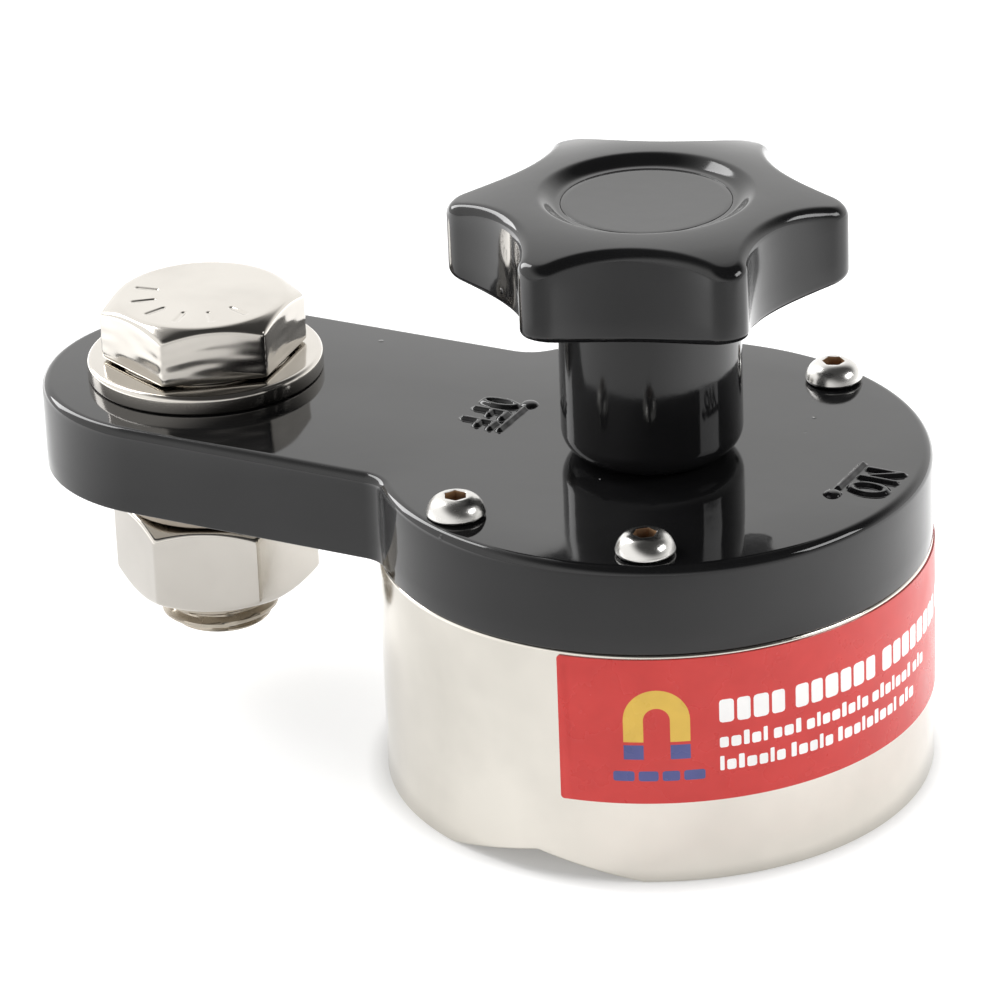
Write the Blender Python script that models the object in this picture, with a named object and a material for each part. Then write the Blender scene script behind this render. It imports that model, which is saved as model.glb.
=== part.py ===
"""Switchable welding magnet holder.

A nickel-plated steel cup stands on two pole faces either side of a shallow V.
Inside lie a fixed magnet disc and a turning one.  A star knob above a black
enamelled cover plate turns the upper disc through half a turn.  The cover's
lug carries a hexagon bolt, washers and a nut that clamp the earth cable.

Metres, +Z up, pole faces at Z = 0, the lug points along -X.
"""

import math

import bmesh
import bpy

MM = 0.001
GAP = 0.3 * MM

# Whole object
BODY_RADIUS = 36.0 * MM
LUG_REACH = 66.3 * MM
LUG_HALF_WIDTH = 22.0 * MM
LABEL_OUTER_RADIUS = 36.45 * MM
KNOB_AXIS_X = (LUG_REACH + LUG_HALF_WIDTH - LABEL_OUTER_RADIUS) / 2
BOLT_AXIS_X = KNOB_AXIS_X - LUG_REACH

# Steel cup
BODY_TOP = 32.0 * MM
BODY_EDGE = 0.5 * MM
BORE_RADIUS = 27.0 * MM
BORE_FLOOR = 7.0 * MM
GROOVE_HALF_WIDTH = 13.5 * MM
GROOVE_DEPTH = 3.1 * MM

# Magnets and drive
LOWER_MAGNET_TOP = 15.8 * MM
SLIP_DISC_THICKNESS = 0.8 * MM
MAGNET_RADIUS = BORE_RADIUS - GAP
ROTOR_RADIUS = BORE_RADIUS - 2 * GAP
UPPER_MAGNET_BOTTOM = 17.2 * MM
UPPER_MAGNET_TOP = 25.4 * MM
CARRIER_BOTTOM = UPPER_MAGNET_TOP + GAP
CARRIER_TOP = 30.3 * MM
CARRIER_STEP = 28.2 * MM
DRIVE_PIN_RADIUS = 2.0 * MM
DRIVE_PIN_REACH = 13.0 * MM
DRIVE_PIN_DEPTH = 4.0 * MM
STOP_PIN_RADIUS = 1.8 * MM
STOP_PIN_REACH = 21.2 * MM
STOP_PIN_ANGLE = -90.0
PIN_CHAMFER = 0.3 * MM
STOP_SLOT_FLOOR = 28.0 * MM
STOP_PIN_SOCKET = 4.0 * MM
SWITCH_TURN = 180.0

# Spindle, bush and seal
SPINDLE_RADIUS = 6.0 * MM
SPINDLE_FLANGE_RADIUS = 8.0 * MM
SPINDLE_SQUARE = 4.15 * MM
SPINDLE_BOTTOM = 26.0 * MM
SPINDLE_SHOULDER = 50.2 * MM
SPINDLE_TOP = 70.2 * MM
SPINDLE_BORE = 6.4 * MM
BUSH_BORE_RADIUS = 8.6 * MM
BUSH_TOP = 41.0 * MM
SEAL_SECTION = 0.95 * MM
THRUST_WASHER_RADIUS = 17.0 * MM

# Cover plate
COVER_BOTTOM = BODY_TOP + GAP
COVER_TOP = 44.0 * MM
COVER_EDGE = 1.3 * MM
COVER_FOOT_EDGE = 0.3 * MM
NECK_FILLET = 5.0 * MM
LETTER_RISE = 0.5 * MM
LETTER_SINK = 0.4 * MM
STROKE = 1.0 * MM

# Cover screws
SCREW_CIRCLE = 31.3 * MM
SCREW_ANGLES = (-116.5, -66.0, 66.0, 116.5)
SCREW_RADIUS = 2.0 * MM
SCREW_LENGTH = 20.0 * MM
SCREW_HEAD_RADIUS = 3.8 * MM
SCREW_HEAD_HEIGHT = 2.2 * MM
SCREW_HOLE_FLOOR = 22.5 * MM

# Knob
KNOB_HEADING = 20.6
KNOB_BOTTOM = COVER_TOP + GAP
HUB_RADIUS = 11.75 * MM
HUB_FOOT_FILLET = 3.3 * MM
HUB_TOP_FILLET = 1.5 * MM
LOBES = 6
LOBE_REACH = 25.5 * MM
LOBE_CORNER = 3.0 * MM
FLUTE_REACH = 19.2 * MM
UNDERSIDE_Z = 66.35 * MM
UNDERSIDE_START = 13.0 * MM
LOBE_BEND = 12.5
LOBE_LOWER_EDGE = 1.0 * MM
LOBE_UPPER_EDGE = 1.4 * MM
CREST_RADIUS = 14.0 * MM
CREST_Z = 79.4 * MM
DISH_RADIUS = 11.4 * MM
DISH_Z = 78.2 * MM
CAP_THICKNESS = 1.5 * MM
CAP_RECESS_RADIUS = 11.2 * MM
SCREW_RECESS_RADIUS = 8.8 * MM
SCREW_RECESS_Z = 70.5 * MM
KNOB_SCREW_RADIUS = 2.5 * MM
KNOB_SCREW_LENGTH = 11.5 * MM
KNOB_SCREW_HEAD_RADIUS = 4.5 * MM
KNOB_SCREW_HEAD_HEIGHT = 2.7 * MM
KNOB_WASHER_THICKNESS = 1.4 * MM

# Cable terminal: M16 bolt, washers and nut
THREAD_RADIUS = 8.0 * MM
CLEARANCE_RADIUS = 8.5 * MM
HEX_HALF_FLATS = 12.0 * MM
HEX_CROWN_RADIUS = 11.4 * MM
WASHER_RADIUS = 15.8 * MM
WASHER_THICKNESS = 2.3 * MM
HEAD_BOTTOM = 46.9 * MM
HEAD_TOP = 54.7 * MM
NUT_TOP = 25.4 * MM
NUT_BOTTOM = 13.2 * MM
BOLT_END = 7.6 * MM
SPRING_WASHER_RADIUS = 12.2 * MM
SPRING_WASHER_BOTTOM = NUT_TOP + GAP
SPRING_WASHER_TOP = 29.3 * MM
SPRING_WASHER_SLIT = 1.6 * MM
BOLT_HEADING = 36.1
NUT_HEADING = 23.4
SPRING_WASHER_HEADING = 70.0
THREAD_CHAMFER = 1.9 * MM
THREAD_CHAMFER_HEIGHT = 3.0 * MM

# Label
LABEL_START = -84.2
LABEL_END = 44.0
LABEL_BOTTOM = 11.4 * MM
LABEL_TOP = 31.5 * MM
LABEL_CORNER = 1.5 * MM

# Facets round a turned piece
FINE = 96
MEDIUM = 48
COARSE = 24


def clear_scene():
    """Removes every object, so that the model starts from nothing."""
    for obj in list(bpy.data.objects):
        bpy.data.objects.remove(obj, do_unlink=True)


def material(name, colour, roughness, metallic):
    """A plain Principled material of one colour."""
    mat = bpy.data.materials.new(name)
    mat.use_nodes = True
    shader = mat.node_tree.nodes["Principled BSDF"]
    shader.inputs["Base Color"].default_value = (*colour, 1.0)
    shader.inputs["Roughness"].default_value = roughness
    shader.inputs["Metallic"].default_value = metallic
    mat.diffuse_color = (*colour, 1.0)
    return mat


def empty(name, x):
    """An empty on a vertical axis, the parent of what turns about it."""
    obj = bpy.data.objects.new(name, None)
    obj.location = (x, 0.0, 0.0)
    obj.empty_display_size = 0.01
    bpy.context.scene.collection.objects.link(obj)
    return obj


def add_object(name, bm, mat, parent=None, location=(0.0, 0.0, 0.0), turn=0.0):
    """Makes a named object from a bmesh, with its faces turned outwards."""
    bmesh.ops.recalc_face_normals(bm, faces=bm.faces)
    mesh = bpy.data.meshes.new(name)
    bm.to_mesh(mesh)
    bm.free()
    mesh.shade_smooth()
    mesh.set_sharp_from_angle(angle=math.radians(30))
    if mat:
        mesh.materials.append(mat)
    obj = bpy.data.objects.new(name, mesh)
    obj.parent = parent
    obj.location = location
    obj.rotation_euler = (0.0, 0.0, math.radians(turn))
    bpy.context.scene.collection.objects.link(obj)
    return obj


def boolean(obj, tool, operation):
    """Keeps a Boolean modifier on obj, with a hidden tool."""
    tool.hide_render = True
    tool.display_type = "WIRE"
    modifier = obj.modifiers.new(tool.name, "BOOLEAN")
    modifier.operation = operation
    modifier.solver = "EXACT"
    modifier.object = tool


# --- Outlines: each gives a radius for an angle about the piece's own axis ---


def circle(radius):
    return lambda angle: radius


def polygon(half_flats, sides):
    """A regular polygon with a corner at angle 0."""
    step = 2 * math.pi / sides

    def outline(angle):
        from_flat = angle % step - step / 2
        return half_flats / math.cos(from_flat)

    return outline


def square(half_flats):
    return polygon(half_flats, 4)


def hexagon(half_flats):
    return polygon(half_flats, 6)


def star(inset):
    """The knob's rim: convex lobes joined by tangent flutes, moved in by inset."""
    half_sector = math.pi / LOBES
    lobe_centre = LOBE_REACH - LOBE_CORNER
    along = lobe_centre * math.cos(half_sector)
    flute = (LOBE_CORNER**2 - lobe_centre**2 - FLUTE_REACH**2 + 2 * along * FLUTE_REACH) / (
        2 * (FLUTE_REACH - along - LOBE_CORNER)
    )
    flute_centre = FLUTE_REACH + flute
    meet_x = flute_centre * math.cos(half_sector) - lobe_centre
    meet_y = flute_centre * math.sin(half_sector)
    lean = math.atan2(meet_y, meet_x)
    touch_x = lobe_centre + (LOBE_CORNER - inset) * math.cos(lean)
    touch_y = (LOBE_CORNER - inset) * math.sin(lean)
    touch_angle = math.atan2(touch_y, touch_x)

    def outline(angle):
        off_lobe = abs((angle + half_sector) % (2 * half_sector) - half_sector)
        if off_lobe <= touch_angle:
            sideways = lobe_centre * math.sin(off_lobe)
            radius = LOBE_CORNER - inset
            return lobe_centre * math.cos(off_lobe) + math.sqrt(radius**2 - sideways**2)
        off_flute = half_sector - off_lobe
        sideways = flute_centre * math.sin(off_flute)
        radius = flute + inset
        return flute_centre * math.cos(off_flute) - math.sqrt(radius**2 - sideways**2)

    return outline


def between(inner, outer, share):
    """An outline part of the way from one outline to another."""
    return lambda angle: inner(angle) * (1 - share) + outer(angle) * share


def turned(rings, segments, through=False):
    """A solid lofted through rings of (outline, height), bottom outwards and up.

    A height is a number, or a function of the ring's radius.  A solid with
    through=True has a bore: its last ring joins its first.
    """
    bm = bmesh.new()
    loops = []
    for outline, height in rings:
        loop = []
        for i in range(segments):
            angle = 2 * math.pi * i / segments
            radius = outline(angle)
            z = height(radius) if callable(height) else height
            loop.append(bm.verts.new((radius * math.cos(angle), radius * math.sin(angle), z)))
        loops.append(loop)
    pairs = list(zip(loops, loops[1:]))
    if through:
        pairs.append((loops[-1], loops[0]))
    else:
        bm.faces.new(reversed(loops[0]))
        bm.faces.new(loops[-1])
    for lower, upper in pairs:
        for i in range(segments):
            j = (i + 1) % segments
            bm.faces.new((lower[i], lower[j], upper[j], upper[i]))
    return bm


def fillet(radius, centre_z, rim, steps, first, last):
    """Rings round an edge: angles run from -90 (facing down) to 90 (facing up)."""
    rings = []
    for i in range(steps + 1):
        angle = math.radians(first + (last - first) * i / steps)
        outline = circle(rim - radius + radius * math.cos(angle))
        rings.append((outline, centre_z + radius * math.sin(angle)))
    return rings


def plain_ring(inner, outer, bottom, top, segments):
    """A flat ring with square edges."""
    rings = [
        (circle(inner), bottom),
        (circle(outer), bottom),
        (circle(outer), top),
        (circle(inner), top),
    ]
    return turned(rings, segments, through=True)


def plain_disc(radius, bottom, top, edge, segments):
    """A disc with small chamfers."""
    rings = [
        (circle(radius - edge), bottom),
        (circle(radius), bottom + edge),
        (circle(radius), top - edge),
        (circle(radius - edge), top),
    ]
    return turned(rings, segments)


def prism(points, bottom, top, bm=None):
    """An upright prism on a plain outline, added to bm when one is given."""
    bm = bm or bmesh.new()
    low = [bm.verts.new((x, y, bottom)) for x, y in points]
    high = [bm.verts.new((x, y, top)) for x, y in points]
    bm.faces.new(reversed(low))
    bm.faces.new(high)
    for i in range(len(points)):
        j = (i + 1) % len(points)
        bm.faces.new((low[i], low[j], high[j], high[i]))
    return bm


def ellipse(x, y, half_x, half_y, count):
    """Points round an ellipse."""
    turns = [2 * math.pi * (i + 0.5) / count for i in range(count)]
    return [(x + half_x * math.cos(t), y + half_y * math.sin(t)) for t in turns]


def on_circle(reach, degrees, x=0.0):
    """The point at this reach and angle about a vertical axis at x."""
    angle = math.radians(degrees)
    return x + reach * math.cos(angle), reach * math.sin(angle)


# --- Steel cup, magnets and drive ---


def make_magnet_body(mat):
    rings = [
        (circle(BODY_RADIUS - BODY_EDGE), 0.0),
        (circle(BODY_RADIUS), BODY_EDGE),
        (circle(BODY_RADIUS), BODY_TOP - BODY_EDGE),
        (circle(BODY_RADIUS - BODY_EDGE), BODY_TOP),
        (circle(BORE_RADIUS), BODY_TOP),
        (circle(BORE_RADIUS), BORE_FLOOR),
    ]
    axis = (KNOB_AXIS_X, 0.0, 0.0)
    body = add_object("magnet_body", turned(rings, FINE), mat, location=axis)

    below = 1.0 * MM
    spread = GROOVE_HALF_WIDTH * (1 + below / GROOVE_DEPTH)
    reach = BODY_RADIUS + 5 * MM
    groove = bmesh.new()
    ends = []
    for y in (-reach, reach):
        corners = ((-spread, -below), (spread, -below), (0.0, GROOVE_DEPTH))
        ends.append([groove.verts.new((x, y, z)) for x, z in corners])
    groove.faces.new(ends[0])
    groove.faces.new(reversed(ends[1]))
    for i in range(3):
        j = (i + 1) % 3
        groove.faces.new((ends[0][i], ends[1][i], ends[1][j], ends[0][j]))
    boolean(body, add_object("groove_cutter", groove, None, location=axis), "DIFFERENCE")

    holes = bmesh.new()
    for degrees in SCREW_ANGLES:
        x, y = on_circle(SCREW_CIRCLE, degrees)
        ring = ellipse(x, y, SCREW_RADIUS + GAP, SCREW_RADIUS + GAP, COARSE)
        prism(ring, SCREW_HOLE_FLOOR, BODY_TOP + below, holes)
    boolean(body, add_object("body_hole_cutter", holes, None, location=axis), "DIFFERENCE")


def make_magnets(magnet_mat, slip_mat, rotor):
    axis = (KNOB_AXIS_X, 0.0, 0.0)
    edge = 0.4 * MM
    low = plain_disc(MAGNET_RADIUS, BORE_FLOOR + GAP, LOWER_MAGNET_TOP, edge, MEDIUM)
    add_object("lower_magnet", low, magnet_mat, location=axis)

    slip_bottom = LOWER_MAGNET_TOP + GAP
    slip_top = slip_bottom + SLIP_DISC_THICKNESS
    slip = plain_disc(ROTOR_RADIUS, slip_bottom, slip_top, edge / 4, MEDIUM)
    add_object("slip_disc", slip, slip_mat, location=axis)

    high = plain_disc(ROTOR_RADIUS, UPPER_MAGNET_BOTTOM, UPPER_MAGNET_TOP, edge, MEDIUM)
    upper = add_object("upper_magnet", high, magnet_mat, parent=rotor)
    holes = bmesh.new()
    for x in (-DRIVE_PIN_REACH, DRIVE_PIN_REACH):
        ring = ellipse(x, 0.0, DRIVE_PIN_RADIUS + GAP, DRIVE_PIN_RADIUS + GAP, COARSE)
        prism(ring, UPPER_MAGNET_TOP - DRIVE_PIN_DEPTH, UPPER_MAGNET_TOP + MM, holes)
    boolean(upper, add_object("magnet_hole_cutter", holes, None, parent=rotor), "DIFFERENCE")


def make_carrier(mat, rotor):
    fit = SPINDLE_SQUARE + GAP
    recess = SPINDLE_FLANGE_RADIUS + GAP
    rings = [
        (circle(recess), CARRIER_BOTTOM),
        (circle(ROTOR_RADIUS), CARRIER_BOTTOM),
        (circle(ROTOR_RADIUS), CARRIER_TOP),
        (square(fit), CARRIER_TOP),
        (square(fit), CARRIER_STEP),
        (circle(recess), CARRIER_STEP),
    ]
    disc = turned(rings, MEDIUM, through=True)
    carrier = add_object("rotor_carrier", disc, mat, parent=rotor, turn=KNOB_HEADING)

    holes = bmesh.new()
    for x in (-DRIVE_PIN_REACH, DRIVE_PIN_REACH):
        ring = ellipse(x, 0.0, DRIVE_PIN_RADIUS + GAP, DRIVE_PIN_RADIUS + GAP, COARSE)
        prism(ring, CARRIER_BOTTOM - MM, CARRIER_TOP + MM, holes)
    boolean(carrier, add_object("carrier_hole_cutter", holes, None, parent=rotor), "DIFFERENCE")

    half_width = STOP_PIN_RADIUS + 2 * GAP
    steps = 30
    outer = []
    inner = []
    for i in range(steps + 1):
        degrees = STOP_PIN_ANGLE - SWITCH_TURN * i / steps
        outer.append(on_circle(STOP_PIN_REACH + half_width, degrees))
        inner.append(on_circle(STOP_PIN_REACH - half_width, degrees))
    start_x, start_y = on_circle(STOP_PIN_REACH, STOP_PIN_ANGLE)
    end_x, end_y = on_circle(STOP_PIN_REACH, STOP_PIN_ANGLE - SWITCH_TURN)
    round_steps = range(1, 8)
    end_cap = []
    start_cap = []
    for i in round_steps:
        swing = 180.0 * i / 8
        dx, dy = on_circle(half_width, STOP_PIN_ANGLE - SWITCH_TURN - swing)
        end_cap.append((end_x + dx, end_y + dy))
        dx, dy = on_circle(half_width, STOP_PIN_ANGLE + 180.0 - swing)
        start_cap.append((start_x + dx, start_y + dy))
    slot = prism(outer + end_cap + inner[::-1] + start_cap, STOP_SLOT_FLOOR, CARRIER_TOP + MM)
    boolean(carrier, add_object("stop_slot_cutter", slot, None, parent=rotor), "DIFFERENCE")


def make_pins(mat, rotor):
    bottom = UPPER_MAGNET_TOP - DRIVE_PIN_DEPTH + GAP
    for number, side in enumerate((-1, 1), start=1):
        pin = plain_disc(DRIVE_PIN_RADIUS, bottom, CARRIER_TOP - GAP, PIN_CHAMFER, COARSE)
        place = (side * DRIVE_PIN_REACH, 0.0, 0.0)
        add_object(f"drive_pin_{number}", pin, mat, parent=rotor, location=place)
    x, y = on_circle(STOP_PIN_REACH, STOP_PIN_ANGLE, KNOB_AXIS_X)
    pin_bottom = STOP_SLOT_FLOOR + GAP
    pin_top = COVER_BOTTOM + STOP_PIN_SOCKET - GAP
    pin = plain_disc(STOP_PIN_RADIUS, pin_bottom, pin_top, PIN_CHAMFER, COARSE)
    add_object("stop_pin", pin, mat, location=(x, y, 0.0))


def make_spindle(steel, rotor):
    chamfer = 0.3 * MM
    thread = KNOB_SCREW_RADIUS + GAP
    rings = [
        (circle(SPINDLE_FLANGE_RADIUS - chamfer), SPINDLE_BOTTOM),
        (circle(SPINDLE_FLANGE_RADIUS), SPINDLE_BOTTOM + chamfer),
        (circle(SPINDLE_FLANGE_RADIUS), CARRIER_STEP - GAP),
        (square(SPINDLE_SQUARE), CARRIER_STEP - GAP),
        (square(SPINDLE_SQUARE), CARRIER_TOP + GAP),
        (circle(SPINDLE_RADIUS), CARRIER_TOP + GAP),
        (circle(SPINDLE_RADIUS), SPINDLE_SHOULDER),
        (square(SPINDLE_SQUARE), SPINDLE_SHOULDER),
        (square(SPINDLE_SQUARE), SPINDLE_TOP - chamfer),
        (square(SPINDLE_SQUARE - chamfer), SPINDLE_TOP),
        (circle(thread), SPINDLE_TOP),
        (circle(thread), SPINDLE_TOP - 12 * MM),
    ]
    add_object("spindle", turned(rings, COARSE), steel, parent=rotor, turn=KNOB_HEADING)


def make_bearings(bronze, rubber):
    axis = (KNOB_AXIS_X, 0.0, 0.0)
    washer_bottom = CARRIER_TOP + GAP
    washer_top = COVER_BOTTOM - GAP
    washer = plain_ring(SPINDLE_BORE, THRUST_WASHER_RADIUS, washer_bottom, washer_top, MEDIUM)
    add_object("thrust_washer", washer, bronze, location=axis)
    bush = plain_ring(SPINDLE_BORE, BUSH_BORE_RADIUS - GAP, COVER_BOTTOM + GAP, BUSH_TOP, MEDIUM)
    add_object("shaft_bush", bush, bronze, location=axis)

    sides = 8
    middle = SPINDLE_BORE + SEAL_SECTION
    height = BUSH_TOP + GAP + SEAL_SECTION
    rings = []
    for i in range(sides):
        angle = 2 * math.pi * i / sides - math.pi
        reach = middle + SEAL_SECTION * math.cos(angle)
        rings.append((circle(reach), height + SEAL_SECTION * math.sin(angle)))
    add_object("shaft_seal", turned(rings, MEDIUM, through=True), rubber, location=axis)


# --- Cover plate ---


def arc(x, y, radius, first, last, steps):
    """Points along an arc, both ends included."""
    points = []
    for i in range(steps + 1):
        angle = math.radians(first + (last - first) * i / steps)
        points.append((x + radius * math.cos(angle), y + radius * math.sin(angle)))
    return points


def cover_outline(inset):
    """The round head, two neck fillets and the round-ended lug, moved in by inset."""
    offset_y = LUG_HALF_WIDTH + NECK_FILLET
    fillet_x = -math.sqrt((BODY_RADIUS + NECK_FILLET) ** 2 - offset_y**2)
    meet = math.degrees(math.atan2(offset_y, fillet_x))
    curl = NECK_FILLET + inset
    head = arc(0.0, 0.0, BODY_RADIUS - inset, -meet, meet, 64)
    back_neck = arc(fillet_x, offset_y, curl, meet - 180, -90, 6)
    lug = arc(-LUG_REACH, 0.0, LUG_HALF_WIDTH - inset, 90, 270, 36)
    front_neck = arc(fillet_x, -offset_y, curl, 90, 180 - meet, 6)
    return head + back_neck[1:] + lug + front_neck[:-1]


def layered(layers):
    """A solid through matching outlines of (points, height), bottom to top."""
    bm = bmesh.new()
    loops = [[bm.verts.new((x, y, z)) for x, y in points] for points, z in layers]
    bm.faces.new(reversed(loops[0]))
    bm.faces.new(loops[-1])
    for lower, upper in zip(loops, loops[1:]):
        for i in range(len(lower)):
            j = (i + 1) % len(lower)
            bm.faces.new((lower[i], lower[j], upper[j], upper[i]))
    return bm


def letter_strokes(letter, width, height):
    """Outlines of a block letter about its own centre, read along +x."""
    w, h, s = width / 2, height / 2, STROKE
    if letter == "F":
        middle = 0.1 * height
        return [(-w, -h), (-w + s, -h), (-w + s, middle - s / 2), (w * 0.7, middle - s / 2),
                (w * 0.7, middle + s / 2), (-w + s, middle + s / 2), (-w + s, h - s), (w, h - s),
                (w, h), (-w, h)]
    slant = 1.3 * s
    return [(-w, -h), (-w + s, -h), (-w + s, h - slant * 1.6), (w - s, -h), (w, -h),
            (w, h), (w - s, h), (w - s, -h + slant * 1.6), (-w + s, h), (-w, h)]


def ring_letter(bm, place, width, height, bottom, top):
    """A letter O: an oval ring with an open middle."""
    count = 20
    loops = []
    for half_x, half_y, z in (
        (width / 2 - STROKE, height / 2 - STROKE, bottom),
        (width / 2, height / 2, bottom),
        (width / 2, height / 2, top),
        (width / 2 - STROKE, height / 2 - STROKE, top),
    ):
        oval = ellipse(0.0, 0.0, half_x, half_y, count)
        loops.append([bm.verts.new((*place(x, y), z)) for x, y in oval])
    for lower, upper in zip(loops, loops[1:] + loops[:1]):
        for i in range(count):
            j = (i + 1) % count
            bm.faces.new((lower[i], lower[j], upper[j], upper[i]))


def raised_word(bm, word, side, bar_reach, bar_from, bar_to, letters_middle):
    """A cast switch word read from outside the plate, under a bar with a round end.

    side is 1 towards +X and -1 towards -X; the tops of the letters face the knob.
    """
    bottom = COVER_TOP - LETTER_SINK
    top = COVER_TOP + LETTER_RISE
    height = 5.6 * MM
    width = 3.6 * MM if len(word) == 2 else 2.7 * MM
    pitch = width + 0.7 * MM
    letter_reach = bar_reach + STROKE / 2 + 0.4 * MM + height / 2
    for i, letter in enumerate(word):
        along = letters_middle + (i - (len(word) - 1) / 2) * pitch

        def place(x, y, along=along):
            return side * (letter_reach - y), side * (along + x)

        if letter == "O":
            ring_letter(bm, place, width, height, bottom, top)
        else:
            outline = [place(x, y) for x, y in letter_strokes(letter, width, height)]
            prism(outline, bottom, top, bm)
    half = STROKE / 2
    bar = [(bar_reach - half, bar_from), (bar_reach + half, bar_from),
           (bar_reach + half, bar_to), (bar_reach - half, bar_to)]
    prism([(side * x, side * y) for x, y in bar], bottom, top, bm)
    dot_gap = STROKE + 0.3 * MM
    dot = ellipse(side * bar_reach, side * (bar_from - dot_gap), STROKE, STROKE, 16)
    prism(dot, bottom, top, bm)


def make_cover_plate(mat):
    layers = [
        (cover_outline(COVER_FOOT_EDGE), COVER_BOTTOM),
        (cover_outline(0.0), COVER_BOTTOM + COVER_FOOT_EDGE),
    ]
    steps = 4
    for i in range(steps + 1):
        angle = math.pi / 2 * i / steps
        inset = COVER_EDGE * (1 - math.cos(angle))
        layers.append((cover_outline(inset), COVER_TOP - COVER_EDGE * (1 - math.sin(angle))))
    axis = (KNOB_AXIS_X, 0.0, 0.0)
    plate = add_object("cover_plate", layered(layers), mat, location=axis)

    words = bmesh.new()
    raised_word(words, "ON", 1, 27.1 * MM, -2.8 * MM, 5.8 * MM, 0.9 * MM)
    raised_word(words, "OFF", -1, 20.7 * MM, -4.6 * MM, 3.4 * MM, -1.2 * MM)
    boolean(plate, add_object("word_tool", words, mat, location=axis), "UNION")

    past = 2 * MM
    low, high = COVER_BOTTOM - past, COVER_TOP + past
    holes = bmesh.new()
    prism(ellipse(-LUG_REACH, 0.0, CLEARANCE_RADIUS, CLEARANCE_RADIUS, MEDIUM), low, high, holes)
    prism(ellipse(0.0, 0.0, BUSH_BORE_RADIUS, BUSH_BORE_RADIUS, MEDIUM), low, high, holes)
    for degrees in SCREW_ANGLES:
        x, y = on_circle(SCREW_CIRCLE, degrees)
        prism(ellipse(x, y, SCREW_RADIUS + GAP, SCREW_RADIUS + GAP, COARSE), low, high, holes)
    x, y = on_circle(STOP_PIN_REACH, STOP_PIN_ANGLE)
    pin_hole = ellipse(x, y, STOP_PIN_RADIUS + GAP, STOP_PIN_RADIUS + GAP, COARSE)
    prism(pin_hole, low, COVER_BOTTOM + STOP_PIN_SOCKET, holes)
    boolean(plate, add_object("cover_hole_cutter", holes, None, location=axis), "DIFFERENCE")


def button_screw(name, mat, parent, location, radius, length, head_radius, head_height, seat):
    """A domed socket-head screw whose head seats at height seat."""
    across = 0.58 * head_radius / 2
    depth = 0.6 * head_height
    tip = 0.4 * MM
    lip = 0.25 * head_height
    flat = head_radius * 0.55
    rings = [
        (circle(radius - tip), seat - length),
        (circle(radius), seat - length + tip),
        (circle(radius), seat),
        (circle(head_radius - tip / 2), seat),
    ]
    steps = 4
    for i in range(steps + 1):
        angle = math.pi / 2 * i / steps
        reach = flat + (head_radius - flat) * math.cos(angle)
        rings.append((circle(reach), seat + lip + (head_height - lip) * math.sin(angle)))
    top = seat + head_height
    rings.append((hexagon(across), top))
    rings.append((hexagon(across), top - depth))
    add_object(name, turned(rings, COARSE), mat, parent=parent, location=location)


def make_cover_screws(mat):
    seat = COVER_TOP + GAP
    for number, degrees in enumerate(SCREW_ANGLES, start=1):
        x, y = on_circle(SCREW_CIRCLE, degrees, KNOB_AXIS_X)
        button_screw(f"cover_screw_{number}", mat, None, (x, y, 0.0), SCREW_RADIUS, SCREW_LENGTH,
                     SCREW_HEAD_RADIUS, SCREW_HEAD_HEIGHT, seat)


# --- Knob ---


def knob_underside(radius):
    """Height of the lobes' underside, which rises towards their tips."""
    return UNDERSIDE_Z + LOBE_BEND * max(radius - UNDERSIDE_START, 0.0) ** 2


def knob_crown(radius):
    """Height of the lobes' top, which falls away outside the crest."""
    return CREST_Z - LOBE_BEND * max(radius - CREST_RADIUS, 0.0) ** 2


def rim_rings(edge, steps, surface, upwards):
    """Rings round the star's lower or upper rim edge."""
    rings = []
    for i in range(steps + 1):
        angle = math.pi / 2 * i / steps
        inset = edge * (1 - math.sin(angle))
        rise = edge * (1 - math.cos(angle))
        sign = 1 if upwards else -1

        def height(radius, rise=rise):
            return surface(radius) + sign * rise

        rings.append((star(inset), height))
    return rings


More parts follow.
